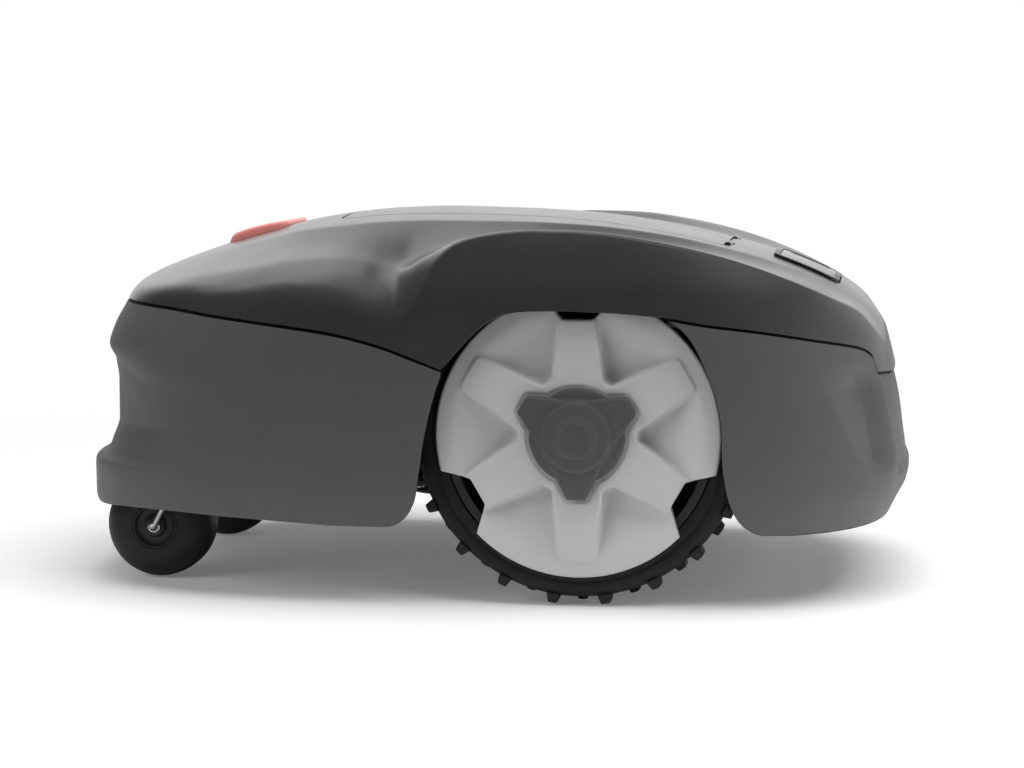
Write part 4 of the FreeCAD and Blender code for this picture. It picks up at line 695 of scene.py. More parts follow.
FINISHES = {
    "hood_paint": dict(
        colour=(0.31, 0.31, 0.315), rough=0.29, metallic=0.89, coat=0.10, coat_rough=0.16,
        vary=0.03, rough_vary=0.02, grain=2400, grain_amount=0.004, wear=0.0),
    "skirt_plastic": dict(
        colour=(0.115, 0.115, 0.118), rough=0.52, spec=0.35, vary=0.05, grain=2600,
        grain_amount=0.22, wear=0.0, dust=0.16, dust_z=(0.045, 0.10)),
    "red_plastic": dict(
        colour=(1.0, 0.34, 0.31), rough=0.42, coat=0.35, vary=0.04, grain=3000,
        grain_amount=0.07, orange=0.02, wear=0.15, subsurface=0.02),
    "badge_silver": dict(
        colour=(0.55, 0.56, 0.57), rough=0.30, metallic=1.0, streak=True, grain=2400,
        grain_amount=0.16, wear=0.1),
    "badge_black": dict(
        colour=(0.018, 0.018, 0.02), rough=0.28, vary=0.12, grain=2600, grain_amount=0.05,
        wear=0.2),
    "contact_metal": dict(
        colour=(0.70, 0.60, 0.36), rough=0.28, metallic=1.0, streak=True, grain=1800,
        grain_amount=0.14, wear=0.3, vary=0.1),
    "chassis_plastic": dict(
        colour=(0.045, 0.045, 0.048), rough=0.6, spec=0.3, grain=1800, grain_amount=0.25,
        wear=0.2, dust=0.3, dust_z=(0.06, 0.14)),
    "seal_rubber": dict(
        colour=(0.02, 0.02, 0.02), rough=0.8, spec=0.25, grain=1500, grain_amount=0.3),
    "keypad_mat": dict(
        colour=(0.05, 0.05, 0.055), rough=0.7, spec=0.3, grain=1600, grain_amount=0.25),
    "lens_clear": dict(
        colour=(0.10, 0.13, 0.11), rough=0.08, coat=0.6, vary=0.05, grain=900,
        grain_amount=0.02, wear=0.05),
    "button_green": dict(
        colour=(0.06, 0.32, 0.09), rough=0.5, grain=1600, grain_amount=0.15),
    "battery_wrap": dict(
        colour=(0.05, 0.09, 0.22), rough=0.38, coat=0.3, vary=0.1, grain=400,
        grain_amount=0.15),
    "board_green": dict(
        colour=(0.02, 0.14, 0.05), rough=0.45, vary=0.2, grain=700, grain_amount=0.3),
    "post_rubber": dict(
        colour=(0.025, 0.025, 0.025), rough=0.75, spec=0.25, grain=1400, grain_amount=0.3),
    "tyre_rubber": dict(
        colour=(0.0135, 0.0135, 0.014), rough=0.62, spec=0.32, vary=0.16, grain=1300,
        grain_amount=0.3, wear=0.25, dust=0.10, dust_z=(0.0, 0.03)),
    "rim_plastic": dict(
        colour=(0.03, 0.03, 0.032), rough=0.6, spec=0.3, grain=1500, grain_amount=0.2,
        wear=0.2),
    "cover_plastic": dict(
        colour=(0.68, 0.68, 0.68), rough=0.46, spec=0.4, vary=0.025, rough_vary=0.05,
        grain=2600, grain_amount=0.12, wear=0.10, dust=0.10, dust_z=(0.0, 0.06)),
    "cap_plastic": dict(
        colour=(0.105, 0.105, 0.107), rough=0.48, spec=0.4, vary=0.06, grain=2400,
        grain_amount=0.18, wear=0.25),
    "steel": dict(
        colour=(0.52, 0.52, 0.53), rough=0.32, metallic=1.0, streak=True, grain=1500,
        grain_amount=0.18, wear=0.1, vary=0.08),
    "bright_steel": dict(
        colour=(0.62, 0.62, 0.63), rough=0.24, metallic=1.0, streak=True, grain=1800,
        grain_amount=0.1, vary=0.06),
    "gear_plastic": dict(
        colour=(0.62, 0.60, 0.54), rough=0.42, grain=1500, grain_amount=0.12,
        subsurface=0.05),
    "gearcase_plastic": dict(
        colour=(0.06, 0.06, 0.065), rough=0.55, grain=1500, grain_amount=0.22, wear=0.2),
    "motor_can": dict(
        colour=(0.42, 0.42, 0.43), rough=0.34, metallic=1.0, streak=True, grain=900,
        grain_amount=0.15, vary=0.08),
    "bushing_plastic": dict(
        colour=(0.08, 0.08, 0.085), rough=0.5, grain=1600, grain_amount=0.2),
    "caster_rubber": dict(
        colour=(0.02, 0.02, 0.0205), rough=0.5, spec=0.38, vary=0.14, grain=1600,
        grain_amount=0.2, wear=0.25, dust=0.12, dust_z=(0.0, 0.025)),
    "caster_core": dict(
        colour=(0.028, 0.028, 0.029), rough=0.42, spec=0.4, grain=1800, grain_amount=0.15,
        wear=0.2),
    "sleeve_plastic": dict(
        colour=(0.10, 0.10, 0.105), rough=0.5, grain=1600, grain_amount=0.2),
    "knob_orange": dict(
        colour=(0.62, 0.20, 0.03), rough=0.42, grain=1600, grain_amount=0.15, wear=0.15),
    "disc_plastic": dict(
        colour=(0.07, 0.07, 0.075), rough=0.5, grain=1500, grain_amount=0.2, wear=0.2,
        dust=0.3, dust_z=(0.04, 0.075)),
}
MATERIALS = {name: material(name, **finish) for name, finish in FINISHES.items()}

# the CAD nodes keep their shape and take the finish of their slot
for part in frame["record"]["subparts"]:
    part_node = frame["nodes"][part["node"]]
    part_node.data.materials.clear()
    part_node.data.materials.append(MATERIALS[part["material_slot"]])


# -------------------------------------------------- seam between hood and skirts
ARCH_FRONT_Y, ARCH_REAR_Y = -14.2, 125.4      # ends of the arch over the drive wheel
TONGUE_Y = 253.6          # behind this the seam runs level across the tail

# (y, z) along the flank
seam_front = curve([
    (-300, 185), (-260, 185), (-228, 185), (-203, 184.2), (-160, 179.7), (-126, 176),
    (-86, 170.9), (-54, 163.4), (-32, 155.6), (ARCH_FRONT_Y, 149.2)])
seam_arch = curve([
    (ARCH_FRONT_Y, 149.2), (-1.6, 163.8), (7.4, 173.2), (15.2, 179.7), (25.6, 184.4),
    (41.6, 186.3), (60.3, 186.6), (80, 186.2), (100, 185.2), (ARCH_REAR_Y, 182.6)])
seam_rear = curve([
    (ARCH_REAR_Y, 182.6), (146, 178.9), (183, 173.8), (219, 166.9), (237, 162.4),
    (245, 159.2), (250.2, 154.4), (253, 147), (TONGUE_Y, 137.2)])
# (y, gap between the seam line and the hood's lower edge)
hood_gap = curve([(-300, 1.15), (-30, 1.15), (-10, 0.3), (110, 0.3), (130, 0.9), (300, 0.9)])


def seam_z(y, x=0.0):
    y = np.asarray(y, float)
    z = np.where(y < ARCH_FRONT_Y, seam_front(y),
                 np.where(y < ARCH_REAR_Y, seam_arch(y), seam_rear(y)))
    tongue = 138.6 + 4.6 * np.clip((np.abs(x) - 45.0) / 63.0, 0, 1.1)
    return np.where(y > TONGUE_Y, tongue, np.where(y > 240, np.maximum(z, tongue), z))


def hood_foot_z(x, y):
    return seam_z(y, x) + hood_gap(y)


# -------------------------------------------------------------------------- hood
HOOD_COLUMNS = 300        # per flank
HOOD_WALL_ROWS = 26
HOOD_FILLET_SHARES = (0.12, 0.25, 0.38, 0.5, 0.62, 0.75, 0.88)
HOOD_GRID_STEP = 3.3


def hood_edge():
    """Where the top meets the walls, round both flanks: outline shares and points."""
    share_x, share_y = share_at(ARC[-1] * np.arange(HOOD_COLUMNS + 1) / HOOD_COLUMNS)
    share_x[0] = share_x[-1] = 0.0
    share_y[0], share_y[-1] = -1.0, 1.0
    low, high = np.full(HOOD_COLUMNS + 1, 130.0), np.full(HOOD_COLUMNS + 1, 251.0)
    for _ in range(34):
        z = (low + high) / 2
        x, y = wall(share_x, share_y, z)
        under = hood_raw_z(x, y) > z
        low, high = np.where(under, z, low), np.where(under, high, z)
    z = (low + high) / 2
    x, y = wall(share_x, share_y, z)
    flank = np.concatenate([np.ones(HOOD_COLUMNS + 1), -np.ones(HOOD_COLUMNS - 1)])
    around = np.concatenate([np.arange(HOOD_COLUMNS + 1), np.arange(HOOD_COLUMNS - 1, 0, -1)])
    edge = np.stack([x[around] * flank, y[around], z[around]], 1)
    return share_x[around] * flank, share_y[around], edge


def hood_wall_bottom(share_x, share_y, top):
    """Heights where the walls meet the seam: stepped down, then settled onto it."""
    z = top.copy()
    done = np.zeros(len(z), bool)
    bottom = np.full(len(z), 137.3)
    while not done.all():
        lower = z - 0.5
        hit = (lower <= hood_foot_z(*wall(share_x, share_y, lower))) & ~done
        bottom[hit] = lower[hit]
        done |= hit | (lower < 120)
        z = np.where(done, z, lower)
    for _ in range(3):
        foot = hood_foot_z(*wall(share_x, share_y, bottom))
        bottom = np.where(np.abs(foot - bottom) < 1.5, foot, bottom)
    return bottom


def hood_holes():
    """Openings for the lid with its two knuckle notches, the stop button and the badge."""
    lid = rounded([(62.4, -104.9), (62.4, 155.2), (41.9, 155.2), (41.9, 158), (28.1, 158),
                   (28.1, 155.2), (-28.1, 155.2), (-28.1, 158), (-41.9, 158),
                   (-41.9, 155.2), (-62.4, 155.2), (-62.4, -104.9)],
                  [10.4, 10.4, 0, 1, 1, 0, 0, 1, 1, 0, 10.4, 10.4], 2.2)
    return [lid, rectangle(grown(STOP_BOX, 0.8), 7, 2.0), rectangle(BADGE_BOX, 8, 2.0)]


def crease_lines(shifts):
    """Lines beside each crease, left then right."""
    y = np.arange(-205, 236, 2.6)
    crease, _ = crease_and_rim(y)
    return [np.stack([flank * (crease + shift), y], 1) for flank in (1, -1) for shift in shifts]


def build_hood():
    share_x, share_y, edge = hood_edge()
    tangent = np.roll(edge, -1, 0)[:, :2] - np.roll(edge, 1, 0)[:, :2]
    tangent /= np.linalg.norm(tangent, axis=1)[:, None]
    inward = np.stack([-tangent[:, 1], tangent[:, 0]], 1)
    # edge fillet, larger towards the front
    front_share = smooth((-15.0 - edge[:, 1]) / 45.0)
    room = np.maximum(edge[:, 2] - hood_foot_z(edge[:, 0], edge[:, 1]), 0.5)
    fillet = np.minimum(2.5 + 4.5 * front_share, 0.72 * room)
    inner = edge[:, :2] + inward * fillet[:, None]
    fillet_top = np.column_stack([inner, hood_z(inner[:, 0], inner[:, 1])])
    wall_top = edge[:, 2] - fillet
    fillet_foot = np.column_stack([*wall(share_x, share_y, wall_top), wall_top])
    rows = [(1 - f) ** 2 * fillet_top + 2 * f * (1 - f) * edge + f * f * fillet_foot
            for f in HOOD_FILLET_SHARES]
    rows.append(fillet_foot)
    bottom = hood_wall_bottom(share_x, share_y, wall_top)
    for k in range(1, HOOD_WALL_ROWS + 1):
        z = wall_top + (bottom - wall_top) * (k / HOOD_WALL_ROWS)
        rows.append(np.column_stack([*wall(share_x, share_y, z), z]))

    holes = hood_holes()
    points = grid_points((-190, -265), (190, 276), HOOD_GRID_STEP)
    points = clear_of(points, [inner], 1.5)
    points = clear_of(points, crease_lines((0,)), 6.6, False)
    points = clear_of(points, holes, 1.3)
    lines = crease_lines((-5.5, -3.6, -2.2, -1.1, 0, 1.1, 2.2, 3.6, 5.5))
    flat, triangles, previous = triangulate(inner, points, holes, lines=lines)
    top = np.column_stack([flat, hood_z(flat[:, 0], flat[:, 1])])

    faces = list(triangles)
    columns = len(edge)
    for k in range(len(rows)):
        current = [len(flat) + k * columns + j for j in range(columns)]
        for j in range(columns):
            j2 = (j + 1) % columns
            faces.append((previous[j], previous[j2], current[j2], current[j]))
        previous = current
    ob = make("hood_shell", np.concatenate([top] + rows), faces)
    face_out(ob, (0, INSIDE_Y, 120))
    thicken(ob, SHELL_THICKNESS)
    bevel(ob, 0.5, segments=2, angle=72)
    dress(ob, "hood_paint", "outer_body", "upper_hood")


build_hood()

# -------------------------------------------------------- lid and hinge knuckles
panel("hatch_lid_panel", rectangle((61, -103.5, 152.6), 9, 2.2), hood_z, 2.6,
      "hood_paint", "hatch", ["hatch_lid"], step=3.4, edge=0.5)


def knuckle(name, x_low, x_high, body):
    """Hinge knuckle with a short arm back under its panel."""
    pin_y, radius = 154.0, 2.6
    pin_z = float(hood_raw_z(35, pin_y)) - 1.2
    profile = []
    for k in range(13):
        angle = math.pi * (-0.35 + 1.35 * k / 12)
        profile.append((pin_y + radius * math.cos(angle), pin_z + radius * math.sin(angle)))
    if body == "hatch":
        profile += [(pin_y - 7.5, pin_z - 1.6), (pin_y - 7.5, pin_z - 3.4),
                    (pin_y - 1, pin_z - 3.0)]
    else:
        profile = [(pin_y + (pin_y - y), z) for y, z in profile]
        profile += [(pin_y + 8.5, pin_z - 2.6), (pin_y + 8.5, pin_z - 4.6),
                    (pin_y + 1, pin_z - 3.6)]
    vertices = [(x, y, z) for x in (x_low, x_high) for y, z in profile]
    ob = face_out(make(name, vertices, prism_faces(2, len(profile))))
    bevel(ob, 0.35, segments=2, angle=35)
    dress(ob, "hood_paint", body)


for prefix, near_x, far_x, knuckle_body in (("lid", 29.2, 40.8, "hatch"),
                                            ("hood", 42.2, 49.8, "outer_body")):
    knuckle(prefix + "_knuckle_left", near_x, far_x, knuckle_body)
    knuckle(prefix + "_knuckle_right", -far_x, -near_x, knuckle_body)

# ------------------------------------------------------------------- stop button
stop_profile = curve([      # (y, z) of the wedge's top
    (-188, 219.2), (-187, 221.6), (-185.4, 224.0), (-183, 226.2), (-177, 228.8),
    (-168, 231.4), (-158, 233.6), (-150, 235.0), (-147.0, 235.4)])


def build_stop_button():
    """Red wedge with soft edges and a shallow dish in its top."""
    outline = rectangle(STOP_BOX, 6.5, 1.4)

    def height(points):
        x, y = points.T
        dish = 0.9 * smooth(1.25 - ((x / 25) ** 2 + ((y + 163) / 12) ** 2))
        return stop_profile(y) - dish - edge_drop(distance(points, outline), 2.6)

    loops = insets(outline, (0.25, 0.6, 1.1, 1.7, 2.6))
    points = fill_points(outline, 2.6, 2.6 * 0.4, loops)
    ob = relief("stop_button_wedge", outline, height, 206.0, loops, points)
    dress(ob, "red_plastic", "stop_key", "stop_button")


build_stop_button()

# dark collar round the stop button opening, under the hood surface
panel("stop_collar", rectangle((39.5, -191.5, -143.4), 9, 2.0),
      lambda x, y: hood_z(x, y) - 3.2, 6.0, "badge_black", "outer_body",
      holes=[rectangle((36.75, -188.7, -146.3), 7, 2.0)], step=2.4, edge=0.3)

# ------------------------------------------------------------------------- badge
panel("badge_frame", rectangle(grown(BADGE_BOX, -0.3), 7.7, 1.8),
      lambda x, y: hood_raw_z(x, y) + 1.9, 3.2, "badge_black", "outer_body",
      ["badge_surround"], holes=[rectangle((37, 188, 224.5), 5, 1.8)], step=2.2, edge=0.5)


def build_badge_plate():
    """Silver plate, its middle sunk inside a rounded ring."""
    ring = rectangle((32.5, 192.4, 220.1), 3.4, 1.8)

    def height(x, y):
        depth = -signed_distance(np.column_stack([x, y]), ring)
        return hood_raw_z(x, y) + 1.35 - 0.6 * smooth((depth + 0.1) / 1.0)

    panel("badge_blank", rectangle((36.8, 188.2, 224.3), 4.8, 1.8), height, 2.2,
          "badge_silver", "outer_body", ["badge_plate"],
          loops=[ring, *insets(ring, (1.0,))], step=2.4, edge=0.3)


build_badge_plate()

# ------------------------------------------------------------------- front skirt
# (y, z) of the lower edge, and of the brow the front face steps back under
front_bottom_z = curve([
    (-300, 50), (-265, 50.4), (-247, 51.6), (-228, 53.6), (-197, 54.2), (-158, 53.0),
    (-106, 50.9), (-80, 49.8), (-51.4, 49.8), (-20, 49.8)])
brow_z = curve([
    (-264, 157.5), (-252, 154.5), (-240, 152.8), (-222, 151.1), (-196, 149.0),
    (-172, 144.5), (-151, 132.5), (-140, 121.5), (-131, 108), (-125, 95), (-118, 78)])
# (z, y) of the rear end, and (z, reach ahead of CENTRE_Y) with its lip
front_end_y = curve([
    (49.8, -51.4), (50.1, -48.0), (51.4, -43.6), (55.8, -37.5), (62.5, -33.2),
    (68.6, -31.0), (85, -28.6), (104.7, -25.6), (120, -22.4), (135, -18.4),
    (150, -14.2), (185, -14.2)])
lip_reach = curve([
    (40, 340.0), (46, 341.8), (50, 343.4), (53, 344.6), (57, 345.0), (74, 345.0),
    (77.5, 344.8), (79.5, 344.0), (81.0, 342.3), (82.4, 339.6), (84.2, 336.6),
    (86.2, 334.8), (89, 333.7), (96, 333.5), (146, 333.5), (157, 333.9), (159.5, 333.2),
    (171, 328.6), (182, 322.2), (190, 318.0)])
LIP_LOW_Z, LIP_HIGH_Z = 74, 94        # rows are level between these heights
FRONT_ROWS = (
    [("low", v) for v in (0.0, 0.02, 0.06, 0.12, 0.2, 0.3, 0.42, 0.56, 0.7, 0.85)]
    + [("level", v) for v in (LIP_LOW_Z, 76, 77.5, 78.7, 79.6, 80.4, 81.1, 81.8, 82.6, 83.4,
                              84.4, 85.6, 87, 89, 91.5, LIP_HIGH_Z)]
    + [("high", v) for v in np.linspace(0.02, 1, 62)])


def front_dent(x, y, z):
    """Step back of the front face under its brow, fading along the flank."""
    drop = brow_z(y) - z
    wide = 8.0 + 16.0 * smooth((y + 258.0) / 60.0)
    edge = smooth(drop / wide) * 0.62 + smooth((drop - 5) / (wide * 2.2)) * 0.38
    low = smooth((z - 86.0) / 20.0)
    along = 1 - smooth((y + 222.0) / 106.0)
    return DENT_DEPTH * edge * low * along


def front_row(kind, value, columns):
    """One row of the left half; height and place along the wall are settled together."""
    z = np.full(len(columns), 60.0 if kind == "low" else 120.0)
    for _ in range(14):
        end = arc_at((front_end_y(z) - CENTRE_Y) / lip_reach(z))
        share_x, share_y = share_at(columns * end)
        share_x[0], share_y[0] = 0.0, -1.0
        y = CENTRE_Y + share_y * lip_reach(z)
        x = share_x * half_width_at(z)
        if kind == "low":
            bottom = front_bottom_z(y)
            z = bottom + value * (LIP_LOW_Z - bottom)
        elif kind == "level":
            z = np.full(len(columns), float(value))
        else:
            z = LIP_HIGH_Z + value * (seam_z(y) - 1.0 - LIP_HIGH_Z)
    return np.stack([x, y, z], 1)


def flipped(points):
    """Rows of points mirrored in x and run the other way."""
    other = points[:, ::-1].copy()
    other[..., 0] *= -1
    return other


def build_front_skirt():
    columns = np.linspace(0, 1, 171) ** 0.97
    points = np.array([front_row(kind, value, columns) for kind, value in FRONT_ROWS])
    push_in(points, front_dent(points[..., 0], points[..., 1], points[..., 2]))
    points[:, 0, 0] = 0.0
    ob = sheet("front_skirt_shell", np.concatenate([flipped(points)[:, :-1], points], 1))
    face_out(ob, (0, 0, 100))
    thicken(ob, SHELL_THICKNESS)
    bevel(ob, 0.7, segments=3, angle=42)
    dress(ob, "skirt_plastic", "outer_body", "front_skirt")


build_front_skirt()

CONTACT_X, CONTACT_WIDTH = 14, 12         # inner edge from the middle, and width
CONTACT_LOW_Z, CONTACT_HIGH_Z = 96, 126


def contact_strip(name, low_x, *nodes):
    """Upright metal strip on the stepped-back front face."""
    high_x = low_x + CONTACT_WIDTH
    outline = rounded([(low_x, CONTACT_LOW_Z), (high_x, CONTACT_LOW_Z),
                       (high_x, CONTACT_HIGH_Z), (low_x, CONTACT_HIGH_Z)], 2.0, 1.0)

    def height(points):
        return np.minimum(distance(points, outline), 0.9) * 0.7

    def place(vertices):
        y = CENTRE_Y - NOSE + DENT_DEPTH - 0.05 - vertices[:, 2]
        return np.column_stack([vertices[:, 0], y, vertices[:, 1]])

    loops = insets(outline, (0.5, 1.0))
    points = fill_points(outline, 2.5, 2.5 * 0.4, loops)
    ob = relief(name, outline, height, -1.8, loops, points, place)
    bevel(ob, 0.15, segments=1, angle=40)
    dress(ob, "contact_metal", "outer_body", *nodes)


contact_strip("contact_strip_left", CONTACT_X, "charge_contacts")
contact_strip("contact_strip_right", -(CONTACT_X + CONTACT_WIDTH))

# -------------------------------------------------------------------- rear skirt
REAR_BOTTOM_Z = 46.5
# (z, y) of the front end
rear_start_y = curve([
    (46.5, 204.0), (46.9, 188.0), (49.5, 179.4), (55.3, 172.0), (64, 167.0), (80, 162.8),
    (96, 161.0), (112, 160.7), (130.5, 158.0), (150.5, 150.8), (169.0, 141.3),
    (177.5, 133.5), (183.0, 125.0)])
# (z, y) of the scoop's front edge, its deepest line, and the rib behind it
scoop_front_y = curve([
    (60, 262), (74, 262), (81, 256.6), (86.5, 248.6), (99.6, 240.0), (121, 230.5),
    (141.5, 221.0), (160, 213)])
scoop_deep_y = curve([
    (60, 264), (82, 261.0), (96, 258.2), (114.5, 254.3), (132, 248.6), (145.5, 242.5),
    (160, 236)])
rib_y = curve([
    (60, 266.5), (71.6, 266.2), (85.7, 267.1), (105.6, 263.6), (125, 259.6), (144, 255.5),
    (160, 250)])


def rear_dent(y, z):
    """Sunk scoop, standing rib and recessed tail panel on each rear corner."""
    front, deep, rib = scoop_front_y(z), scoop_deep_y(z), rib_y(z)
    rise = np.clip((y - front) / np.maximum(deep - front, 0.5), 0, 1)
    drop = np.clip((rib - 0.8 - y) / np.maximum(rib - 0.8 - deep, 1.6), 0, 1)
    fade = smooth((154 - z) / 22.0) * smooth((z - 79.5) / 11.0)
    scoop = 8.6 * rise * (0.45 * drop + 0.55 * smooth(drop)) * fade
    tail = 2.4 * smooth((y - rib) / 2.6) * smooth((150 - z) / 8.0) * smooth((z - 74) / 8.0)
    return scoop + tail


def build_rear_skirt():
    columns = np.linspace(0, 1, 300)
    points = []
    for share in np.concatenate([[0, 0.006, 0.015, 0.03, 0.05], np.linspace(0.075, 1, 60)]):
        z = np.full(len(columns), REAR_BOTTOM_Z + share * 110)
        for _ in range(30):
            start = arc_at(np.clip((rear_start_y(z) - CENTRE_Y) / tail_at(z), 0, 1))
            share_x, share_y = share_at(start + columns * (ARC[-1] - start))
            share_x[-1], share_y[-1] = 0.0, 1.0
            x, y = wall(share_x, share_y, z)
            top = seam_z(y, x) - 0.9
            z = 0.5 * z + 0.5 * (REAR_BOTTOM_Z + share * (top - REAR_BOTTOM_Z))
        points.append(np.stack([x, y, z], 1))
    points = np.array(points)
    push_in(points, rear_dent(points[..., 1], points[..., 2]), blur=8)
    points[:, -1, 0] = 0.0
    ob = sheet("rear_skirt_shell", np.concatenate([points[:, :-1], flipped(points)], 1))
    face_out(ob, (0, 60, 100))
    thicken(ob, SHELL_THICKNESS)
    bevel(ob, 0.6, segments=3, angle=42)
    dress(ob, "skirt_plastic", "outer_body", "rear_skirt")


build_rear_skirt()


def shade_strip(name, start, end):
    """Dark strip just inside the walls, behind the gap between hood and skirts: painted shade, so
    that the gap reads dark.
    """
    share_x, share_y = share_at(np.linspace(start, end, 150))
    points = []
    for rise in (-4.2, -1.4, 1.4, 4.2):
        z = np.full(len(share_x), 165.0)
        for _ in range(16):
            x, y = wall(share_x, share_y, z)
            z = 0.5 * z + 0.5 * (seam_z(y, x) + rise)
        points.append(np.stack([x, y, z], 1))
    points = np.array(points)
    push_in(points, 3.5)
    for side, strip in (("left", points), ("right", flipped(points))):
        ob = sheet(f"{name}_{side}", strip)
        face_out(ob, (0, INSIDE_Y, 150))
        thicken(ob, 0.8)
        dress(ob, "tyre_rubber", "outer_body")


# dark strips behind the seam gap, painted shade standing in for the shadow inside it
shade_strip("seam_shade_strip_front", 0.0, arc_at(-0.275))
shade_strip("seam_shade_strip_rear", arc_at(0.312), ARC[-1])

# ------------------------------------------------------------------ wheel covers
# Covers and caps are drawn face on: plane x is machine y, plane y is machine z, height is x.
COVER_RADIUS = 89.7
CAP_RADIUS = 30.2


def on_left_wheel(face_x):
    """Placing function for a relief drawn about the axle, its zero height at face_x."""
    def place(vertices):
        return np.column_stack([face_x + vertices[:, 2], AXLE_Y + vertices[:, 0],
                                AXLE_Z + vertices[:, 1]])
    return place


def cover_outline():
    """Disc with three trapezoid notches, at 90, 210 and 330 degrees."""
    points, radii = [], []
    for k in range(3):
        middle = 90 + 120 * k
        for radius, angle, fillet in ((COVER_RADIUS, -14.6, 0.9), (73.2, -7.2, 2.2),
                                      (73.2, 7.2, 2.2), (COVER_RADIUS, 14.6, 0.9)):
            points.append(polar(radius, middle + angle))
            radii.append(fillet)
        for angle in np.arange(17, 104, 3.0):
            points.append(polar(COVER_RADIUS, middle + angle))
            radii.append(0)
    return rounded(points, radii, 1.8)


def spider_outline():
    """Raised hub plate with six spokes, between rounded valley tips."""
    points, radii = [], []
    for k in range(6):
        middle = 30 + 60 * k
        tip = 78.5 if k % 2 == 0 else 76.5
        spoke = [turned(corner, middle)
                 for corner in ((75.5, -11.0), (tip, -10.2), (tip, 10.2), (75.5, 11.0))]
        points += [polar(37.3, middle - 25.0), *spoke, polar(37.3, middle + 25.0)]
        radii += [4.2, 0, 2.2, 2.2, 0, 4.2]
    return rounded(points, radii, 1.8)


def cap_outline():
    """Disc with three tapered lobes."""
    points, radii = [], []
    for k in range(3):
        middle = 30 + 120 * k
        for along, across, fillet in ((27.2, -12.3, 1.5), (39.6, -5.9, 1.6),
                                      (39.6, 5.9, 1.6), (27.2, 12.3, 1.5)):
            points.append(turned((along, across), middle))
            radii.append(fillet)
        for angle in np.arange(30, 91, 4.0):
            points.append(polar(CAP_RADIUS, middle + angle))
            radii.append(0)
    return rounded(points, radii, 1.6)


COVER, SPIDER, CAP = cover_outline(), spider_outline(), cap_outline()


def fold_along(across):
    """Distance out from the axle of the fold across a valley."""
    return 58.5 + 0.10 * across


def cover_height(points):
    radius = np.hypot(points[:, 0], points[:, 1])
    degrees = np.degrees(np.arctan2(points[:, 1], points[:, 0]))
    from_valley = (degrees + 30) % 60 - 30
    along = radius * np.cos(np.radians(from_valley))
    across = np.abs(radius * np.sin(np.radians(from_valley)))
    top = np.interp(radius, [0, 34, 46, 60, 72, 79, 90], [8.3, 8.3, 8.25, 8.0, 7.3, 6.4, 5.2])
    # valley floor: steep up to the fold, then shallow, merging into the rim
    fold = fold_along(across)
    deep = -4.9 + (along - 40.0) * (4.3 / (fold - 40.0))
    shallow = -0.6 + (along - fold) * 0.19
    floor = np.maximum(np.where(along < fold, deep, shallow), -5.1)
    rim = np.interp(radius, [60, 70, 80, 88.6], [2.0, 3.4, 4.9, 5.1])
    merge = smooth((radius - 60) / 20.0)
    floor = floor * (1 - merge) + np.maximum(floor, rim) * merge
    flank = smooth((signed_distance(points, SPIDER) + 0.35) / 2.6)
    height = top * (1 - flank) + floor * flank
    # recess round the cap
    height = height - 1.3 * (1 - smooth((signed_distance(points, CAP) - 0.5) / 2.6))
    return height - edge_drop(distance(points, COVER), 1.8)


def build_wheel_covers():
    rings = (insets(SPIDER, (0.5, -0.4, -1.1, -1.9, -2.8)) + insets(COVER, (0.25, 0.7, 1.2, 1.8))
             + insets(CAP, (-0.6, -1.4, -2.2, -3.0, -3.9)))
    points = grid_points((-89, -89), (89, 89), 2.1)
    points = clear_of(points, [COVER, SPIDER, CAP] + rings, 0.75)
    across = np.linspace(-19, 19, 24)
    fold = np.stack([fold_along(np.abs(across)), across], 1)
    folds = [turned(fold, 60 * k) for k in range(6)]
    points = clear_of(np.concatenate([points] + rings), folds, 0.5, False)
    points = np.concatenate([points] + folds)
    left = relief("wheel_cover_left", COVER, cover_height, -5.8, [SPIDER, CAP], points,
                  on_left_wheel(176.0))
    dress_pair(left, "wheel_cover", "cover_plastic", "wheel", "wheel_cover")


build_wheel_covers()

# ---------------------------------------------------------------------- hub caps
CAP_PROFILE = [           # (radius, height)
    (0, 8.9), (8.2, 8.9), (9.0, 9.1), (9.6, 9.65), (12.8, 9.65), (13.4, 9.1), (14.2, 8.9),
    (20.6, 8.9), (21.6, 8.4), (22.3, 6.2), (23.0, 3.8), (29.3, 2.2), (CAP_RADIUS, 1.8),
    (33, 0.8)]
LOBE_PROFILE = [(15, 17.4), (21.0, 14.6), (27.2, 12.4), (39.6, 6.2)]   # (along, half width)


def lobe_half_width(along):
    return np.interp(along, *zip(*LOBE_PROFILE))


def cap_height(points):
    radius = np.hypot(points[:, 0], points[:, 1])
    body = np.interp(radius, *zip(*CAP_PROFILE))
    degrees = np.degrees(np.arctan2(points[:, 1], points[:, 0]))
    from_lobe = (degrees - 30 + 60) % 120 - 60
    across = np.abs(radius * np.sin(np.radians(from_lobe)))
    along = radius * np.cos(np.radians(from_lobe))
    lobe = np.where(along > 14, 6.9 - 0.03 * (along - 24), 0.0)
    within = 1 - smooth((across - lobe_half_width(along) + 0.9) / 1.3)
    height = np.maximum(body, lobe * within)
    return height - edge_drop(distance(points, CAP), 1.5)


def lobe_edge_points():
    """Points following the flanks of the lobes near the hub."""
    along = np.linspace(20.5, 28.5, 14)
    lines = [turned(np.stack([along, flank * (lobe_half_width(along) + shift)], 1), 30 + 120 * k)
             for k in range(3) for flank in (1, -1) for shift in (-1.0, -0.4, 0.1, 0.6)]
    points = np.concatenate(lines)
    return clear_of(points[inside(points, CAP)], [CAP], 0.5)


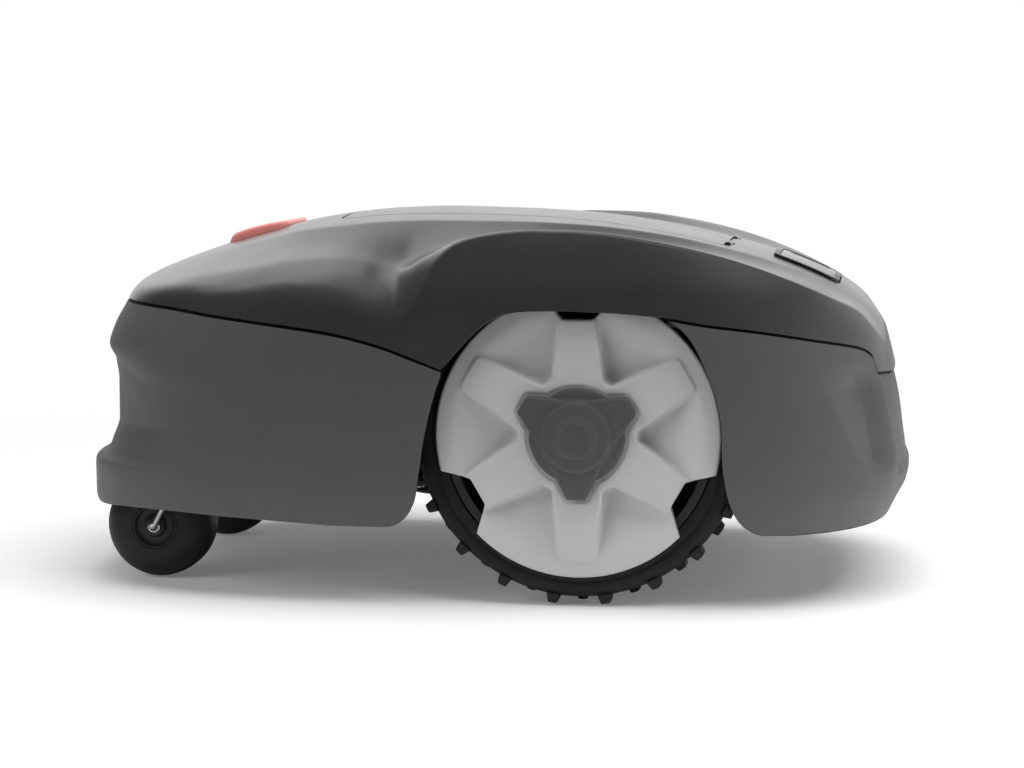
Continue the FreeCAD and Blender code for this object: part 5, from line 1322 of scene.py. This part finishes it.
def build_hub_caps():
    borders = insets(CAP, (0.3, 0.7, 1.15, 1.6))
    rings = [np.array([polar(radius, degrees) for degrees in np.arange(0, 360, 4.0)])
             for radius, _ in CAP_PROFILE[1:-3]]
    points = clear_of(grid_points((-41, -41), (41, 41), 1.5), [CAP] + borders + rings, 0.55)
    lobe_edges = lobe_edge_points()
    nearest = np.sqrt(((points[:, None] - lobe_edges[None]) ** 2).sum(2)).min(1)
    points = np.concatenate([points[nearest > 0.5]] + borders + [lobe_edges])
    points = clear_of(points, rings, 0.3)
    left = relief("hub_cap_left", CAP, cap_height, -3.2, rings, points, on_left_wheel(184.6))
    dress_pair(left, "hub_cap", "cap_plastic", "wheel", "hub_cap")


build_hub_caps()

# ------------------------------------------------------------------------- tyres
TYRE_CORNERS = [          # (x, radius, fillet)
    (130.2, 86, 1.0), (174.8, 86, 1.0), (174.8, 91, 0.6), (173.9, 93.0, 0.8),
    (174.8, 95.0, 0.6), (174.8, 98.6, 1.6), (171.5, 102.9, 2.0), (165, 104.0, 6),
    (152.5, 104.3, 8), (140, 104.0, 6), (133.5, 102.9, 2.0), (130.2, 98.6, 1.6)]
CLEATS_PER_ROW = 20
CLEAT_PITCH = 360 / CLEATS_PER_ROW
CLEAT_ROWS = ((131.2, 150.6, 0.0), (154.2, 173.8, CLEAT_PITCH / 2))   # (low x, high x, turn)
CLEAT_FOOT, CLEAT_TOP = 102.2, 108.45         # radii
CLEAT_LEVELS = (          # (radius, half width, inset at both ends)
    (CLEAT_FOOT, 4.3, 0.0), (CLEAT_FOOT + 1.9, 3.9, 0.0), (CLEAT_TOP - 1.3, 3.05, 0.15),
    (CLEAT_TOP - 0.35, 2.85, 0.45), (CLEAT_TOP, 2.2, 1.1))
CLEAT_CHAMFER = 0.9


def cleat_vertices(low_x, high_x, degrees):
    """One tapered block with cut corners, turned about the axle."""
    rows = []
    for radius, half, inset in CLEAT_LEVELS:
        low, high, cut = low_x + inset, high_x - inset, CLEAT_CHAMFER
        rows += [(x, side, radius) for x, side in (
            (low + cut, -half), (high - cut, -half), (high, -half + cut), (high, half - cut),
            (high - cut, half), (low + cut, half), (low, half - cut), (low, -half + cut))]
    rows = np.array(rows)
    cos, sin = math.cos(math.radians(degrees)), math.sin(math.radians(degrees))
    y = rows[:, 1] * cos - rows[:, 2] * sin
    z = rows[:, 1] * sin + rows[:, 2] * cos
    return np.column_stack([rows[:, 0], AXLE_Y + y, AXLE_Z + z])


def add_cleats(ob):
    """Joins both rows of cleats into the carcass mesh."""
    vertices, faces = [], []
    for k in range(CLEATS_PER_ROW):
        for low_x, high_x, phase in CLEAT_ROWS:
            block = cleat_vertices(low_x, high_x, CLEAT_PITCH * k + phase)
            first = len(vertices) * len(block)
            faces += [tuple(i + first for i in face) for face in prism_faces(5, 8)]
            vertices.append(block)
    cleats = face_out(make("cleats", np.concatenate(vertices), faces))
    bm = bmesh.new()
    bm.from_mesh(ob.data)
    bm.from_mesh(cleats.data)
    bm.to_mesh(ob.data)
    bm.free()
    bpy.data.objects.remove(cleats)
    shade_smooth(ob.data)


def build_tyres():
    profile = rounded([corner[:2] for corner in TYRE_CORNERS],
                      [corner[2] for corner in TYRE_CORNERS], 1.6)
    left = lathe("tyre_carcass", profile, (0, AXLE_Y, AXLE_Z), 144)
    add_cleats(left)
    left.name = "drive_tyre_tread_left"
    dress_pair(left, "drive_tyre_tread", "tyre_rubber", "wheel", "drive_tyre",
               dict(width=0.25, segments=1, angle=50))


build_tyres()

# ----------------------------------------------------------------------- casters
CASTER_HALF = [           # (x, radius) from the right face to the middle
    (-22.9, 15.2), (-22.9, 21.0), (-22.3, 24.6), (-20.8, 28.2), (-18.2, 31.2), (-15.2, 33.2),
    (-14.6, 33.0), (-14.0, 33.7), (-10.5, 34.8), (-9.9, 34.5), (-9.3, 35.05), (-5.0, 35.4),
    (0, CASTER_RADIUS)]
CASTER_BORE = [(21.5, 14.6), (-21.5, 14.6)]
HUB_HALF = [              # (x, radius) from the outer rim of the left face in to the bore
    (22.6, 14.95), (23.0, 14.2), (22.6, 13.4), (20.6, 12.6), (20.0, 11.2), (20.0, 8.0),
    (20.5, 7.2), (22.0, 6.6), (22.4, 5.8), (22.4, 2.62)]
WASHER_PROFILE = [(23.3, 2.55), (23.3, 4.0), (23.7, 4.25), (24.3, 4.0), (24.5, 2.55)]


def other_half(profile):
    return [(-x, radius) for x, radius in reversed(profile)]


def build_caster_wheels():
    centre = (CASTER_X, CASTER_Y, CASTER_RADIUS)
    profile = CASTER_HALF + other_half(CASTER_HALF[:-1]) + CASTER_BORE
    dress_pair(lathe("caster_ball_left", profile, centre, 96), "caster_ball", "caster_rubber",
               "caster_wheel", "caster_tyre", dict(width=0.3, segments=1, angle=60))
    profile = other_half(HUB_HALF) + HUB_HALF
    dress_pair(lathe("caster_hub_left", profile, centre, 72), "caster_hub", "caster_core",
               "caster_wheel", "caster_hub", dict(width=0.25, segments=1, angle=60))


def round_bar(name, points, bends, radius, sides=14):
    """Bar swept along a path with rounded bends; bends holds a radius for each point."""
    points = [np.array(point, float) for point in points]
    path = [points[0]]
    for i in range(1, len(points) - 1):
        corner, before, after = points[i], points[i - 1], points[i + 1]
        back = (before - corner) / np.linalg.norm(before - corner)
        ahead = (after - corner) / np.linalg.norm(after - corner)
        angle = math.acos(float(np.clip(back @ ahead, -1, 1)))
        run = bends[i] / math.tan(angle / 2)
        start, end = corner + back * run, corner + ahead * run
        for k in range(9):
            f = k / 8
            path.append((1 - f) ** 2 * start + 2 * f * (1 - f) * corner + f * f * end)
    path.append(points[-1])
    path = np.array(path)
    tangents = np.gradient(path, axis=0)
    tangents /= np.linalg.norm(tangents, axis=1)[:, None]
    # carry one cross direction along the path, so that the section doesn't twist
    up = np.array([0.0, 1.0, 0.0])
    up = up - tangents[0] * (up @ tangents[0])
    up /= np.linalg.norm(up)
    vertices = []
    for point, tangent in zip(path, tangents):
        up = up - tangent * (up @ tangent)
        up /= np.linalg.norm(up)
        across = np.cross(tangent, up)
        vertices += [point + radius * (math.cos(2 * math.pi * k / sides) * up
                                       + math.sin(2 * math.pi * k / sides) * across)
                     for k in range(sides)]
    return face_out(make(name, vertices, prism_faces(len(path), sides)))


def build_caster_leg(side, sign):
    """Bent wire from the caster's axle over its outer face and up the stem, with a washer."""
    x = sign * CASTER_X
    outer_x, arm_z = x + sign * 28.5, 74.6
    leg = round_bar("caster_wire_" + side,
                    [(x + sign * -20.5, CASTER_Y, CASTER_RADIUS),
                     (outer_x, CASTER_Y, CASTER_RADIUS), (outer_x, CASTER_STEM_Y, arm_z),
                     (x, CASTER_STEM_Y, arm_z), (x, CASTER_STEM_Y, 114.5)],
                    bends=[0, 3.4, 4.2, 4.2, 0], radius=2.48)
    bevel(leg, 0.6, segments=2, angle=60)
    dress(leg, "bright_steel", side + "_caster_fork", side + "_caster_leg")
    profile = [(sign * offset, radius) for offset, radius in WASHER_PROFILE]
    washer = lathe("caster_washer_" + side, profile, (x, CASTER_Y, CASTER_RADIUS), 40)
    dress(washer, "bright_steel", side + "_caster_fork")


build_caster_wheels()
build_caster_leg("left", 1)
build_caster_leg("right", -1)

# softened edges on the CAD nodes still shown, finer on the small parts
SMALL_PARTS = ("pinion", "gear", "blade", "screw", "cap", "pin")
for node_name, cad_node in frame["nodes"].items():
    if not cad_node.hide_render:
        small = any(word in node_name for word in SMALL_PARTS)
        soften_edges(cad_node, 0.12 if small else 0.5, segments=2, angle=38)


# ------------------------------------------------------------------------- stage
# Lengths are in metres from here on.
FLOOR_Z = -0.0004
FLOOR_RADII = (0.6, 1.2, 2.4, 6.0, 18.0)
FLOOR_SIDES = 24

# world brightness around the machine: (degrees from +X towards +Y, strength)
WORLD_LOW = [
    (-180, 1.0), (-150, 0.92), (-140, 0.6), (-130, 0.13), (-118, 0.03), (-60, 0.018),
    (0, 0.022), (40, 0.045), (80, 0.10), (110, 0.18), (140, 0.28), (160, 0.45),
    (171, 0.85), (180, 1.0)]
WORLD_MID = [
    (-180, 0.22), (-172, 0.42), (-162, 0.62), (-142, 0.62), (-132, 0.30), (-120, 0.06),
    (-100, 0.03), (-20, 0.02), (20, 0.028), (60, 0.035), (100, 0.05), (130, 0.08),
    (160, 0.09), (173, 0.13), (180, 0.22)]
WORLD_HIGH = [
    (-180, 0.22), (-172, 0.42), (-162, 0.66), (-112, 0.66), (-98, 0.42), (-84, 0.16),
    (-60, 0.03), (-20, 0.02), (30, 0.04), (80, 0.14), (130, 0.20), (160, 0.12),
    (173, 0.13), (180, 0.22)]
WORLD_TOP = [(-180, 0.22), (180, 0.22)]


def floor_material():
    """White floor that fades to pure white away from the machine, as the camera sees it."""
    mat = bpy.data.materials.new("studio_floor")
    graph = Graph(mat)
    position = graph.add("NewGeometry").outputs["Position"]
    camera_ray = graph.add("LightPath").outputs["Is Camera Ray"]
    reach = graph.add("VectorMath", {0: position}, operation="LENGTH").outputs["Value"]
    fade = graph.remap(reach, 0.42, 1.15, interpolation_type="SMOOTHSTEP")
    fade = graph.math("MULTIPLY", fade, camera_ray)
    # the floor towards the camera is dark to every ray but the camera's
    azimuth = math.radians(-12.0)
    direction = (math.cos(azimuth), math.sin(azimuth), 0.0)
    toward = graph.add("VectorMath", {0: position, 1: direction}, operation="DOT_PRODUCT")
    near = graph.remap(toward.outputs["Value"], 0.24, 0.60, interpolation_type="SMOOTHSTEP")
    dark = graph.math("MULTIPLY", near, graph.math("SUBTRACT", 1.0, camera_ray))
    white = graph.add("BsdfDiffuse", {0: (0.93, 0.93, 0.93, 1)}).outputs[0]
    black = graph.add("BsdfDiffuse", {0: (0.05, 0.05, 0.05, 1)}).outputs[0]
    shade = graph.add("MixShader", {0: dark, 1: white, 2: black}).outputs[0]
    # slight glow for the camera only
    glow = graph.add("Emission", {1: graph.math("MULTIPLY", camera_ray, 0.13)}).outputs[0]
    lifted = graph.add("AddShader", {0: shade, 1: glow}).outputs[0]
    backdrop = graph.add("Emission", {0: (1, 1, 1, 1), 1: 1.0}).outputs[0]
    surface = graph.add("MixShader", {0: fade, 1: lifted, 2: backdrop}).outputs[0]
    graph.add("OutputMaterial", {0: surface})
    return mat


def build_floor():
    """Flat disc of widening rings."""
    mesh = bpy.data.meshes.new("floor")
    vertices, faces = [(0, 0, FLOOR_Z)], []
    for radius in FLOOR_RADII:
        for k in range(FLOOR_SIDES):
            angle = 2 * math.pi * k / FLOOR_SIDES
            vertices.append((radius * math.cos(angle), radius * math.sin(angle), FLOOR_Z))
    for k in range(FLOOR_SIDES):
        faces.append((0, 1 + k, 1 + (k + 1) % FLOOR_SIDES))
    for ring in range(len(FLOOR_RADII) - 1):
        first = 1 + ring * FLOOR_SIDES
        after = first + FLOOR_SIDES
        for k in range(FLOOR_SIDES):
            k2 = (k + 1) % FLOOR_SIDES
            faces.append((first + k, after + k, after + k2, first + k2))
    mesh.from_pydata(vertices, [], faces)
    floor = link("studio_floor", mesh)
    mesh.materials.append(floor_material())


def build_world():
    """Bright wall behind the machine, dark room on the camera's side; white to the camera."""
    world = bpy.data.worlds.new("studio")
    bpy.context.scene.world = world
    graph = Graph(world)
    direction = graph.add("TexCoord").outputs["Generated"]
    axes = graph.add("SeparateXYZ", {0: direction}).outputs
    azimuth = graph.math("ARCTAN2", axes["Y"], axes["X"])
    azimuth = graph.remap(azimuth, -math.pi, math.pi)

    def around(stops):
        node = graph.add("ValToRGB", {0: azimuth})
        ramp = node.color_ramp
        ramp.interpolation = "LINEAR"
        while len(ramp.elements) > 1:
            ramp.elements.remove(ramp.elements[-1])
        for k, (degrees, strength) in enumerate(stops):
            position = (degrees + 180) / 360
            stop = ramp.elements[0] if k == 0 else ramp.elements.new(position)
            stop.position = position
            stop.color = (strength, strength, strength, 1)
        return node.outputs[0]

    level = around(WORLD_LOW)
    # (elevations in degrees between which the next band takes over, band)
    for start, end, stops in ((22, 36, WORLD_MID), (46, 58, WORLD_HIGH), (72, 88, WORLD_TOP)):
        share = graph.remap(axes["Z"], math.sin(math.radians(start)),
                            math.sin(math.radians(end)), interpolation_type="SMOOTHSTEP")
        level = graph.mix(share, level, around(stops))
    camera_ray = graph.add("LightPath").outputs["Is Camera Ray"]
    strength = graph.mix(camera_ray, level, 1.0, data_type="FLOAT")
    background = graph.add("Background", {0: (1, 1, 1, 1), "Strength": strength})
    graph.add("OutputWorld", {0: background.outputs[0]})


def aim(ob, location, direction):
    ob.location = location
    ob.rotation_mode = "QUATERNION"
    ob.rotation_quaternion = direction.to_track_quat("-Z", "Y")


def area_light(name, location, target, size, power):
    """Square light, unseen by the camera and in reflections."""
    light = bpy.data.lights.new(name, "AREA")
    light.shape = "RECTANGLE"
    light.size = light.size_y = size
    light.energy = power
    ob = link(name, light)
    aim(ob, location, Vector(target) - Vector(location))
    ob.visible_glossy = False
    ob.visible_camera = False


def build_camera():
    camera = bpy.data.cameras.new("camera")
    camera.lens = 98.63
    camera.sensor_width = 36.0
    camera.clip_start, camera.clip_end = 0.05, 60.0
    ob = link("camera", camera)
    heading, pitch = math.radians(8.06607), math.radians(5.65253)
    forward = Vector((-math.cos(heading) * math.cos(pitch),
                      -math.sin(heading) * math.cos(pitch), -math.sin(pitch)))
    aim(ob, (1.90536, 0.27320, 0.31270), forward)
    scene = bpy.context.scene
    scene.camera = ob
    scene.view_settings.view_transform = "Standard"
    scene.view_settings.look = "None"


build_floor()
build_world()
area_light("top_box", (0.1, 0.5, 2.0), target=(0, 0.1, 0.1), size=2.4, power=50.0)
area_light("key_box", (1.7, -2.0, 1.3), target=(0, 0, 0.12), size=1.6, power=24.0)
area_light("rear_box", (0.3, 2.4, 0.7), target=(0, 0.2, 0.12), size=1.0, power=14.0)
build_camera()
